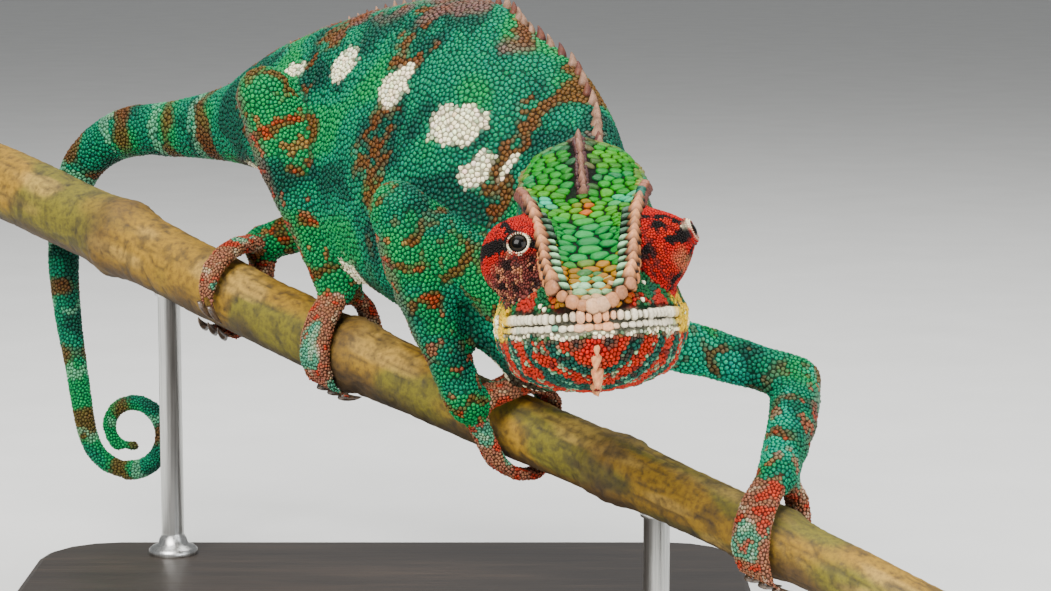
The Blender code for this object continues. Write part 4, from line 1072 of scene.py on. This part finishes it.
# Rows of oblong scales down the forehead to the snout: back, half width, height, shift, paint.
for back, width, down, shift, paint in ((-13.4, 2.2, -4.6, 0.3, pigment(53, 96, 47)),
                                        (-14.6, 3.7, -5.6, -0.4, pigment(79, 146, 88)),
                                        (-15.9, 4.3, -6.6, 0.5, MINT_HORN),
                                        (-17.2, 4.6, -7.6, -0.3, pigment(118, 150, 104)),
                                        (-18.3, 4.4, -8.6, 0.2, pigment(168, 132, 92))):
    ends = back + 0.05 * width ** 2
    row = spaced(((-width, ends, down), (0.0, back - 0.1, down + 0.1), (width, ends, down)), 2.15)
    row = row + (shift, 0.0, 0.0) + dice.normal(0.0, (0.16, 0.02, 0.12), (len(row), 3))
    heading = np.array((1.0, 0.0, 0.0)) + dice.normal(0.0, 0.16, (len(row), 3))
    paint = np.tile(paint, (len(row), 1))
    wash(paint, ramp(np.abs(row[:, 0]) - width, -2.0, -1.0) * ramp(-back, 13.6, 15.0) * 0.8, BUFF_HORN)
    crest_scales(row, FORWARD_UP + row * (0.09, 0.0, 0.0), heading, (1.22, 0.7), 0.6, paint, 2.0, 0.12, RIB,
                 2.0)

# The brim round the snout, the pale spots on the muzzle and the crest down the helmet.
sweep = np.linspace(-1.0, 1.0, BRIM_SCALES)
brim = np.stack((sweep * 6.3, -19.6 + 2.6 * sweep ** 2, -9.7 + 3.3 * sweep ** 2), 1)
paint = np.tile(pigment(170, 114, 74), (BRIM_SCALES, 1))
wash(paint, dice.random(BRIM_SCALES) * 0.6, pigment(120, 78, 58))
# Painted highlight: a little cream on the brim scales near the middle.
wash(paint, stripe(brim[:, 0] - 0.9, 1.5, 0.6) * 0.15, CREAM)
crest_scales(brim, brim * (0.12, 0.0, 0.0) + (0.0, -1.0, 0.25), np.gradient(brim, axis=0), (1.22, 1.15), 0.6,
             paint, 2.2, 0.12, BRIM_LEVELS, 1.8)
spots = np.array([(-9.1, -14.6, -8.7), (8.9, -14.8, -8.6), (10.6, -10.5, -4.9), (-8.4, -15.9, -9.3)])
seats, outs = on_skin(from_head(spots))
made = pebbles(seats, outs, level_with(np.tile(UPRIGHT, (4, 1)), outs), oblong(4, 0.5, 0.42, 2.0),
               np.full(4, 0.5), HORN_LEVELS)
crest_batches.append((made, seats, owners(seats), np.tile(CREAM, (4, 1))))
taken.extend(zip(seats, np.full(4, 0.6)))
ridge = np.array([(0.0, 6.6, 9.6), (0.0, 20.0, 18.0), (0.0, 31.0, 21.0)])
crest_row(ridge, 1.3, (0.62, 0.62), 1.3, pigment(124, 88, 74), 0.25)
for flank in (-1.0, 1.0):
    crest_row(ridge + (flank * 0.95, 0.7, 0.0), 1.2, (0.5, 0.5), 0.5, pigment(66, 40, 40), 0.25)
coat("horny_crests", crest_batches, horn, "head_skin")

# ==== Lip scales ==============================================================================
# A row of upright plates along each lip, ivory with pink at the middle and yellow at the corners
# of the mouth, standing side by side like teeth, with painted shade darkening the mouth line between the
# rows.

LIP_EDGE = ((0.0, -19.6), (3.0, -19.6), (6.0, -18.4), (9.4, -15.0), (12.2, -10.0), (14.1, -5.0), (15.2, -1.0))
LIP_LEVELS = ((1.0, -0.5), (0.99, 0.2), (0.84, 0.72), (0.5, 0.96))
LIP_ROWS = ((0.9, 0.86, 0.54, 0.7, 1.36), (-0.62, 0.58, 0.8, 0.36, 1.56))
# height over the mouth line, half height, half width, thickness and step of each row
ivory = scale_finish("lip_ivory", 0.38, 2200.0, 0.35)
lip_batches = []
for above_lip, tall, wide_half, thick, step in LIP_ROWS:
    for flank in (-1.0, 1.0):
        path = np.array([(flank * x, y, MOUTH_Z + above_lip) for x, y in LIP_EDGE])
        points = spaced(path, step)
        seats, outs = on_skin(from_head(points))
        leads = level_with(np.tile(HEAD_POSE[:3, 2], (len(seats), 1)), outs)
        size = 1.0 + 0.14 * dice.standard_normal(len(seats)).clip(-1.6, 1.2)
        reach = oblong(len(seats), tall, wide_half, 2.5) * size[:, None]
        reach *= (1.0 + 0.2 * ramp(3.6 - np.abs(points[:, 0]), 0.0, 1.0))[:, None]
        reach *= 1.0 + 0.04 * dice.standard_normal(reach.shape)
        colours = np.tile(pigment(206, 196, 170), (len(seats), 1))
        wash(colours, ramp(5.2 - np.abs(points[:, 0] - 0.6), 0.0, 3.4), pigment(208, 146, 104))
        wash(colours, (above_lip < 0.0) * ramp(wander(seats, 1.5, 43), 0.5, 0.75) * 0.8, SEA)
        wash(colours, ramp(points[:, 1], -8.0, -3.0), SULPHUR)
        colours *= (1.0 + 0.07 * dice.standard_normal(len(seats)))[:, None]
        made = pebbles(seats, outs, leads, reach, thick * size, LIP_LEVELS)
        lip_batches.append((made, seats, owners(seats), colours.clip(0.0, 1.0)))
        taken.extend(zip(seats, np.full(len(seats), 0.95)))
        taken.extend(zip(seats + leads * 0.6, np.full(len(seats), 0.8)))
coat("lip_scales", lip_batches, ivory, "head_skin")

# ==== Eyes ====================================================================================
# Each eyeball is a glossy ball that shows only through the small round opening of its fused lids:
# a black pupil, a thin gold line and a dark brown iris under clear lacquer.

EYE_RADIUS = 2.2
EYE_DEPTH = 6.35
LID_AXIS = np.array((0.1, 0.2, 1.0))
IRIS = ((0.0, (0.0, 0.0, 0.0)), (0.62, (0.001, 0.0008, 0.0005)), (0.68, (0.02, 0.011, 0.003)),
        (0.74, (0.004, 0.0025, 0.0015)), (0.95, (0.001, 0.001, 0.0008)))
eyes_placed = {}
for side, (base, sight) in TURRETS.items():
    sight = unit(sight)
    centre = from_head(base + sight * EYE_DEPTH)
    gaze = HEAD_POSE[:3, :3] @ sight
    eyes_placed[side] = (centre, gaze)
    glaze, shader, place = new_finish("eye_glaze_" + side, Coat_Weight=0.6, Coat_Roughness=0.03,
                                      Coat_IOR=1.25, Roughness=0.3, Specular_IOR_Level=0.05)
    middle = tuple((centre + gaze * EYE_RADIUS - DRAFT) / 1000.0)   # of the pupil
    off = place.node("ShaderNodeVectorMath", {"operation": "DISTANCE"}, {0: place, 1: middle}, "Value")
    graded(off * 600.0 + noise(place, 5200.0, 3.0) * 0.08 - 0.04, *IRIS).feed(shader, "Base Color")
    swing = math.pi * (np.arange(ROD_SIDES) + 0.5) / ROD_SIDES
    globe = np.stack((np.sin(swing), -np.cos(swing)), 1) * EYE_RADIUS
    build("eyeball_" + side, *turned(globe, centre, gaze, LID_AXIS), glaze, "eye", ("eye_" + side,))

# ==== Eyelid rims =============================================================================
# The edge of the fused lids round each opening: a soft rolled ring of cream skin, beaded with three
# rows of very small scales.

RIM_STEPS = ((1.57, 7.4), (1.56, 7.86), (1.61, 8.1), (1.7, 8.18), (1.84, 8.11), (2.04, 7.88), (2.35, 7.4),
             (2.7, 6.8), (2.5, 6.3))   # radius, and place along the sight line
RIM_CREAM = (0.1, 0.35, 0.8, 0.9, 0.5, 0.0, 0.0, 0.0, 0.0)   # how much cream paint each step takes
BEAD_ROWS = ((26, 1.74, 8.1, 0.17), (32, 2.02, 7.84, 0.18), (38, 2.32, 7.42, 0.18))   # count, place, size
BEAD = ((1.0, -0.4), (0.9, 0.4), (0.55, 0.85))
rim_finish = scale_finish("lid_rim", 0.5, 3000.0, 0.06)
bead_batches = []
for side, (centre, gaze) in eyes_placed.items():
    lid = owner_of["eye_turret_" + side]
    foot = centre - gaze * EYE_DEPTH
    across = level_with(LID_AXIS[None], gaze[None])[0]
    circle = compass(ROD_SIDES, across, np.cross(gaze, across))
    points = np.concatenate([foot + circle * radius + gaze * along for radius, along in RIM_STEPS])
    starts = np.arange(len(RIM_STEPS)) * ROD_SIDES
    corners = np.concatenate([wall(high, low, ROD_SIDES) for low, high in zip(starts, np.roll(starts, -1))])
    # Painted shade: the rim is half as bright as the turret's markings, so it reads dark between and inside
    # the beads.
    tint = markings(points, np.full(len(points), lid)) * 0.5
    pale = np.repeat(RIM_CREAM, ROD_SIDES) * (1.0 if side == "right" else 0.35)
    wash(tint, pale * ramp(wander(points, 1.0, 41), 0.6, 0.1), CREAM)
    build("lid_rim_" + side, points, corners, np.full(len(points), 4), rim_finish, "turret_skin", (), tint)
    for number, radius, along, size in BEAD_ROWS:
        turn = math.tau * (np.arange(number) + 0.5 * (number % 2)) / number
        spokes = np.outer(np.cos(turn), across) + np.outer(np.sin(turn), np.cross(gaze, across))
        seats = foot + spokes * radius + gaze * along
        outs = unit(spokes * (radius - 1.25) + gaze * 1.1)
        reach = np.tile(size, (number, 8)) * (1.0 + 0.08 * dice.standard_normal((number, 8)))
        owner = np.full(number, lid)
        colours = markings(seats, owner)
        cream = ramp(1.95 - radius + 0.5 * wander(seats, 1.0, 42), 0.0, 0.3)
        wash(colours, cream * (0.9 if side == "right" else 0.3), CREAM)
        made = pebbles(seats, outs, level_with(spokes, outs), reach, np.full(number, 0.2), BEAD)
        bead_batches.append((made, seats, owner, colours))
    taken.append((foot + gaze * 8.0, 2.5))
coat("lid_beads", bead_batches, rim_finish, "turret_skin")

# ==== Back and chin crests ====================================================================
# Soft conical scales in single file: small ones from the nape down the back to the tail, and
# larger, fleshy, peach-coloured ones hanging under the chin.

BACK_PITCH = 2.75
BODY_LEAN = ((0.0, 5.0), (25.6, 11.0), (38.0, 14.0), (50.0, 15.0), (75.0, 14.0), (96.0, 11.0), (120.0, 6.0),
             (146.0, 0.0))   # degrees by run along the back
CONE_STEPS = ((-0.18, 1.05), (0.08, 1.0), (0.3, 0.84), (0.52, 0.64), (0.74, 0.42), (0.9, 0.24), (0.98, 0.09))
CHIN_CONES = ((-18.2, 0.7, 1.5), (-17.2, 0.95, 2.3), (-15.9, 1.0, 2.7), (-14.4, 1.0, 2.6), (-12.9, 0.95, 2.4),
              (-11.4, 0.9, 2.2), (-9.9, 0.85, 2.0), (-8.4, 0.8, 1.8), (-6.9, 0.75, 1.6), (-5.4, 0.7, 1.4),
              (-3.9, 0.65, 1.2), (-2.4, 0.6, 1.1))   # back from the eyes, radius, length


def cones(feet, outs, leans, radii, tall, bend, sides=9):
    """Bent, round-tipped cones."""
    parts = []
    for foot, out, lean, radius, height in zip(feet, outs, leans, radii, tall):
        circle = compass(sides, lean, np.cross(out, lean)) * radius
        parts.append(loft(np.stack([
            foot + out * (height * share) + lean * (height * bend * max(share, 0.0) ** 2) + circle * width
            for share, width in CONE_STEPS])))
    return joined(parts)


soft_horn = scale_finish("soft_cones", 0.5, 1800.0, 0.06)
runs = np.arange(13.0, 152.0, BACK_PITCH)
centres = along_path(runs, line_run, line_points)
ahead = unit(np.gradient(centres, axis=0))
lean = np.radians(np.interp(runs, *np.array(BODY_LEAN).T))[:, None]
level_side = unit(np.cross(ahead, (0.0, 0.0, -1.0)))
level_side *= np.sign(level_side[:, :1])
upward = unit(UPRIGHT * np.cos(lean) + level_side * np.sin(lean))
feet = np.array([skin_tree.ray_cast(centre + up * 60.0, -up)[0] for centre, up in zip(centres, upward)])
size = (1.0 - 0.6 * ramp(runs, 30.0, 152.0)) * (1.0 + 0.08 * dice.standard_normal(len(runs)))
back = cones(feet - upward * 0.25, upward, level_with(ahead, upward), 1.02 * size, 2.7 * size, 0.45)
tint = np.where(dice.random((len(runs), 1)) < 0.3, pigment(91, 54, 41), pigment(132, 100, 80))
tint = np.repeat(tint, len(back[0]) // len(runs), axis=0) * (0.8 + 0.3 * wander(back[0], 0.8, 51))[:, None]
build("back_crest", *back, soft_horn, "body_skin", (), tint.clip(0.02, 1.0))
taken.extend(zip(feet, 0.95 * size))

chin_y, chin_wide, chin_tall = np.array(CHIN_CONES).T
count = len(CHIN_CONES)
starts = from_head(np.stack((dice.normal(0.0, 0.2, count), chin_y, np.full(count, -40.0)), 1))
down = unit(HEAD_POSE[:3, :3] @ (0.0, -0.42, -1.0) + dice.normal(0.0, 0.13, (count, 3)))
feet = np.array([skin_tree.ray_cast(start, HEAD_POSE[:3, 2])[0] for start in starts])
back_along = level_with(np.tile(HEAD_POSE[:3, 1], (count, 1)), down)
chin = cones(feet - down * 0.5, down, back_along, chin_wide, chin_tall, 0.25, 12)
tint = pigment(200, 138, 92) * (0.9 + 0.2 * wander(chin[0], 0.7, 52))[:, None]
wash(tint, ramp(wander(chin[0], 0.9, 53), 0.3, 0.6) * 0.35, FLAME)
build("chin_crest", *chin, soft_horn, "throat_skin", (), tint.clip(0.02, 1.0))
taken.extend(zip(feet, chin_wide * 0.8))

# ==== Claws ===================================================================================
# One short curved claw at the tip of each toe, of dark horn, biting into the bark.

TOES = {"arm": (3, 2), "leg": (2, 3)}   # on the inner and the outer side
TOE_PITCH = 3.105
TOE_SKEW = {-1: -6.0, 1: -2.0}
CLAW_SIDES = 8
CLAW_STEPS = ((140.0, 1.55, 0.66), (147.0, 1.25, 0.62), (153.0, 0.95, 0.52), (159.0, 0.65, 0.38),
              (164.0, 0.35, 0.24), (168.0, 0.12, 0.08))
# degrees round the branch, height over the bark, radius
claw_parts = []
whole = BRANCH_BACK - BRANCH_FRONT
for key, joints in LIMBS.items():
    kind, side = key.split("_")
    wrist = np.array(joints[2])
    share = (wrist - BRANCH_FRONT) @ whole / (whole @ whole)
    axis = branch_axis(share)
    along = unit(branch_axis(share + 0.01) - branch_axis(share - 0.01))
    up = wrist - axis
    up = unit(up - along * (up @ along))
    for toes, inward in zip(TOES[kind], (1, -1)):
        way = inward * (1 if side == "right" else -1)
        around_branch = np.cross(along, up) * way
        skew = TOE_SKEW[-1 if around_branch[1] < 0.0 else 1]
        for toe in range(toes):
            place_on = (toe - (toes - 1) / 2.0) * TOE_PITCH
            rings = []
            for degrees, over, radius in CLAW_STEPS:
                angle = math.radians(degrees)
                spoke = up * math.cos(angle) + around_branch * math.sin(angle)
                centre = axis + along * (place_on + skew * (1.0 + (degrees - 140.0) / 100.0))
                centre = centre + spoke * (branch_radius(share) + over)
                rings.append(centre + compass(CLAW_SIDES, along, spoke * 1.3) * radius)
            claw_parts.append(loft(np.stack(rings)[:, ::way]))
claw_horn, shader, place = new_finish("claw_horn", Coat_Weight=0.5, Coat_Roughness=0.15)
grain = noise(place, 1400.0, 3.0)
graded(grain, (0.35, (0.03, 0.018, 0.012)), (0.7, (0.12, 0.075, 0.045))).feed(shader, "Base Color")
(0.25 + grain * 0.2).feed(shader, "Roughness")
build("claws", *joined(claw_parts), claw_horn, "foot_skin")

# ==== Scales ==================================================================================
# The common coat: rounded granules side by side over the whole skin, plates on the forehead and
# casque, smaller granules on the chin and feet, and the finest on the eye turrets.

DOME = ((1.0, -0.35), (0.84, 0.58))
FINE_DOME = ((1.0, -0.35), (0.9, 0.45), (0.56, 0.88))
PLATE = ((1.0, -0.5), (0.99, 0.2), (0.9, 0.72), (0.62, 0.96))
PITCHES = (("trunk", 0.88), ("neck", 0.82), ("tail_root", 0.86), ("tail_middle", 0.78), ("tail_hook", 0.72),
           ("tail_hang", 0.64), ("tail_curl", 0.58), ("arm_upper", 0.76), ("thigh", 0.82), ("arm_fore", 0.72),
           ("shank", 0.76), ("hand", 0.6), ("foot", 0.62), ("casque", 0.8), ("head", 0.68),
           ("lower_jaw", 0.66), ("eye_turret", 0.42))
CANDIDATES = 5             # places tried for each scale
PLATE_CANDIDATES = 5.0     # times as many for the plates
SCALE_AREA = 0.866         # of the pitch squared
APART = 0.83               # of the pitch, the least distance between two scales
LIFT = 0.4                 # of the pitch, how far over the skin scales are spaced
PLATES_APART = 500.0       # how far the plates are lifted clear while they are spaced
GRANULE_CLEARANCE = 0.85   # least distance from a plate's middle to a granule's
NEIGHBOURS = 18            # scales that may press on one scale, itself among them
SQUARENESS = 7.0           # how sharp the corners between neighbours are
WIDEST = 0.78              # of the pitch, the longest reach of a scale
GRANULE_FILL = 0.95        # of its room, how much a common scale takes up
PLATE_FILL = 0.92


def stretch(points, plated):
    """How much the width of the head counts less between the plates of the crown: 1 elsewhere."""
    return np.where(plated, np.interp(to_head(points)[:, 1], (3.0, 10.0), (0.6, 0.84)), 1.0)


def squeezed(points, plated):
    """Points drawn in across the head, so that plates spaced evenly there lie wider than long.

    The plates are lifted clear of the granules, so that each kind is spaced among itself.
    """
    head = to_head(points)
    head[:, 0] *= stretch(points, plated)
    head[:, 2] += PLATES_APART * plated
    return from_head(head)


def pitch_at(points, owner, outs):
    """Distance between neighbouring scales at each point."""
    pitch = np.full(len(points), 1.1)
    for start, value in PITCHES:
        pitch[of(owner, start)] = value
    head = to_head(points)
    inside, size = crown_share(head)
    upward = outs @ HEAD_POSE[:3, 2] > 0.15
    plated = inside & upward & of(owner, "head", "casque")
    pitch[plated] = size[plated]
    return pitch, plated


def triangle_parts():
    """Corners, area and unit normal of the skin's triangles."""
    halves = np.concatenate((skin_faces[:, (0, 1, 2)], skin_faces[:, (0, 2, 3)]))
    a, b, c = (skin[halves[:, i]] for i in range(3))
    cross = np.cross(b - a, c - a)
    return a, b, c, np.linalg.norm(cross, axis=1) / 2.0, unit(cross), skin_owner[halves[:, 0]]


a, b, c, area, facing, part_owner = triangle_parts()
middle = (a + b + c) / 3.0
middle_pitch, middle_plated = pitch_at(middle, part_owner, facing)
load = area * stretch(middle, middle_plated) / (SCALE_AREA * middle_pitch ** 2)
load *= np.where(middle_plated, PLATE_CANDIDATES, 1.0)
wanted = int(load.sum() * CANDIDATES)
dice = np.random.default_rng(9)
pick = np.searchsorted(np.cumsum(load), dice.random(wanted) * load.sum()).clip(0, len(load) - 1)
u, v = dice.random((2, wanted))
flip = u + v > 1.0
u[flip], v[flip] = 1.0 - u[flip], 1.0 - v[flip]
cloud = a[pick] + (b[pick] - a[pick]) * u[:, None] + (c[pick] - a[pick]) * v[:, None]
cloud_pitch, cloud_plated = pitch_at(cloud, part_owner[pick], facing[pick])
raised_cloud = cloud + facing[pick] * (cloud_pitch * LIFT)[:, None]
drawn_in = squeezed(raised_cloud, cloud_plated)
cloud_tree = planted(drawn_in)
free = np.ones(wanted, bool)
chosen = []
for i in dice.permutation(wanted):
    if free[i]:
        chosen.append(i)
        for _, j, _ in cloud_tree.find_range(drawn_in[i], APART * cloud_pitch[i]):
            free[j] = False

# The scales settle twice to the middle of the skin that is nearest to each.
seats = raised_cloud[chosen]
seat_plated = cloud_plated[chosen]
weight = 1.0 / cloud_pitch ** 2
for last in (False, True):
    nearest = nearest_in(planted(squeezed(seats, seat_plated)), drawn_in)
    mass = np.bincount(nearest, weights=weight, minlength=len(seats))
    mass[mass == 0.0] = 1.0
    seats = np.stack([np.bincount(nearest, weights=weight * raised_cloud[:, i], minlength=len(seats)) / mass
                      for i in range(3)], 1)
    seats, seat_out = on_skin(seats)
    seat_owner = owners(seats)
    seat_pitch, seat_plated = pitch_at(seats, seat_owner, seat_out)
    if not last:
        seats = seats + seat_out * (seat_pitch * LIFT)[:, None]
plate_tree = planted(seats[seat_plated])
clear = seat_plated | (np.array([plate_tree.find(point)[2] for point in seats]) > GRANULE_CLEARANCE)
seats, seat_out, seat_owner, seat_pitch, seat_plated = (
    kind[clear] for kind in (seats, seat_out, seat_owner, seat_pitch, seat_plated))

# Each scale is walled in by its neighbours, half way to each or nearer to the smaller.
seat_tree = planted(seats)
kept = np.ones(len(seats), bool)
for point, radius in taken:
    for _, j, _ in seat_tree.find_range(point, radius + 0.1):
        kept[j] = False
near = np.array([[hit[1] for hit in seat_tree.find_n(point, NEIGHBOURS)] for point in seats])[:, 1:]
offset = seats[near] - seats[:, None]
same_side = np.einsum("ijk,ik->ij", seat_out[near], seat_out) > 0.1
offset -= seat_out[:, None] * np.einsum("ijk,ik->ij", offset, seat_out)[..., None]
share = seat_pitch[:, None] / (seat_pitch[:, None] + seat_pitch[near])
lead = level_with(np.where(seat_plated[:, None], HEAD_POSE[:3, 0], (0.31, 0.52, 0.79)), seat_out)
across = np.cross(seat_out, lead)
narrow = stretch(seats, seat_plated)
bearing = np.stack([np.einsum("ijk,ik->ij", offset, way) for way in (lead, across)], -1)
bearing[..., 0] *= narrow[:, None]
gap = np.linalg.norm(bearing, axis=2)
half_gap = np.where(same_side, np.maximum(gap, 0.05) * share, 9.0)
bearing /= np.maximum(gap, 1e-6)[..., None]


def outlines(which, sides, fill):
    """Outline of each chosen scale, pressed flat against its neighbours."""
    turn = turns(sides)
    spoke = np.stack((np.outer(narrow[which], np.cos(turn)), np.tile(np.sin(turn), (len(which), 1))), -1)
    toward = np.einsum("ijk,isk->ijs", bearing[which], spoke)
    push = np.clip(toward, 0.0, None) / half_gap[which][..., None]
    reach = np.power(np.maximum(np.power(push, SQUARENESS).sum(1), 1e-9), -1.0 / SQUARENESS)
    longest = WIDEST * seat_pitch[which][:, None] / np.linalg.norm(spoke, axis=2)
    return np.minimum(reach, longest) * fill


seat_colour = markings(seats, seat_owner)
dice = np.random.default_rng(12)
seat_colour *= (1.0 + 0.12 * dice.standard_normal(len(seats)))[:, None].clip(0.6, 1.4)
seat_colour *= 1.0 + 0.06 * dice.standard_normal(seat_colour.shape)
seat_colour = seat_colour.clip(0.0, 1.0)
_, _, _, flank = along_body(seats)
fine = scale_finish("turret_granules", 0.5, 3600.0, 0.04)
granule = scale_finish("body_granules", 0.5, 2200.0, 0.06)
plate_scale = scale_finish("crown_plates", 0.42, 1500.0, 0.08)
trunk_like = of(seat_owner, "trunk", "neck")
groups = [(f"scales_trunk_{side}_{part}", trunk_like & on_side & there, 7, DOME, 0.3, granule, "body_skin")
          for side, on_side in (("left", flank > 0.0), ("right", flank <= 0.0))
          for part, there in (("front", seats[:, 1] < 75.0), ("back", seats[:, 1] >= 75.0))]
groups += [
    ("scales_tail", of(seat_owner, "tail"), 7, DOME, 0.26, granule, "body_skin"),
    ("scales_arms", of(seat_owner, "arm"), 7, DOME, 0.28, granule, "body_skin"),
    ("scales_legs", of(seat_owner, "thigh", "shank"), 7, DOME, 0.28, granule, "body_skin"),
    ("scales_feet", of(seat_owner, "hand", "foot"), 6, DOME, 0.22, granule, "foot_skin"),
    ("scales_face", of(seat_owner, "head", "casque") & ~seat_plated, 8, FINE_DOME, 0.32, granule,
     "head_skin"),
    ("scales_jaw", of(seat_owner, "lower_jaw"), 8, FINE_DOME, 0.3, granule, "throat_skin"),
    ("scales_turrets", of(seat_owner, "eye_turret"), 7, FINE_DOME, 0.17, fine, "turret_skin"),
    ("crown_plates", seat_plated, 14, PLATE, 0.46, plate_scale, "head_skin")]
for name, wanted, sides, levels, height, finish, slot in groups:
    which = np.flatnonzero(wanted & kept)
    tall = height * (seat_pitch[which] / np.median(seat_pitch[which])) ** 0.5
    tall *= (1.0 + 0.12 * dice.standard_normal(len(which))).clip(0.7, 1.3)
    reach = outlines(which, sides, PLATE_FILL if name == "crown_plates" else GRANULE_FILL)
    made = pebbles(seats[which], seat_out[which], lead[which], reach, tall, levels)
    coat(name, [(made, seats[which], seat_owner[which], seat_colour[which])], finish, slot)

# ==== Studio ==================================================================================
# A plain pale floor under broad, soft lamps, with the camera level with the animal's eyes and a
# little above them.

paper, shader, place = new_finish("studio_paper", Roughness=0.9)
fibre = noise(place, 30.0, 4.0)
graded(fibre, (0.3, (0.70, 0.70, 0.68)), (0.7, (0.74, 0.74, 0.72))).feed(shader, "Base Color")
floor_mesh = bpy.data.meshes.new("floor")
floor_mesh.from_pydata([(-8.0, -8.0, 0.0), (8.0, -8.0, 0.0), (8.0, 8.0, 0.0), (-8.0, 8.0, 0.0)], [],
                       [(0, 1, 2, 3)])
floor_mesh.materials.append(paper)
floor = bpy.data.objects.new("floor", floor_mesh)
bpy.context.scene.collection.objects.link(floor)

world = bpy.data.worlds.new("studio")
world.use_nodes = True
world.node_tree.nodes["Background"].inputs["Color"].default_value = (0.86, 0.88, 0.90, 1.0)
world.node_tree.nodes["Background"].inputs["Strength"].default_value = 0.36
bpy.context.scene.world = world

LENS_TILT = math.radians(8.0)   # how far the camera looks down
LENS_AWAY = 486.0               # from the camera to the drafting origin
EYE_LEVEL = LENS_AWAY * np.array((0.0, -math.cos(LENS_TILT), math.sin(LENS_TILT)))
LAMP_AIM = np.array((0.0, 30.0, 0.0))
LAMPS = (("key_lamp", (-320.0, -520.0, 620.0), 0.55, 19.5, (1.0, 0.98, 0.95)),
         ("fill_lamp", (520.0, -480.0, 260.0), 0.60, 6.5, (0.95, 0.98, 1.0)),
         ("top_lamp", (60.0, 200.0, 760.0), 0.80, 9.0, (1.0, 1.0, 1.0)))   # place in mm, side in m, watts
for name, at, side, watts, colour in LAMPS:
    lamp = bpy.data.lights.new(name, "AREA")
    lamp.size = side
    lamp.energy = watts
    lamp.color = colour
    made = bpy.data.objects.new(name, lamp)
    made.location = (np.array(at) - DRAFT) / 1000.0
    aim = Vector(((LAMP_AIM - DRAFT) / 1000.0).tolist())
    made.rotation_euler = (aim - made.location).to_track_quat("-Z", "Y").to_euler()
    bpy.context.scene.collection.objects.link(made)

lens = bpy.data.cameras.new("camera")
lens.lens = 100.0
lens.sensor_width = 36.0
lens.clip_start = 0.01
lens.clip_end = 50.0
camera = bpy.data.objects.new("camera", lens)
camera.location = (EYE_LEVEL - DRAFT) / 1000.0
camera.rotation_euler = (math.pi / 2.0 - LENS_TILT, 0.0, 0.0)
bpy.context.scene.collection.objects.link(camera)
bpy.context.scene.camera = camera
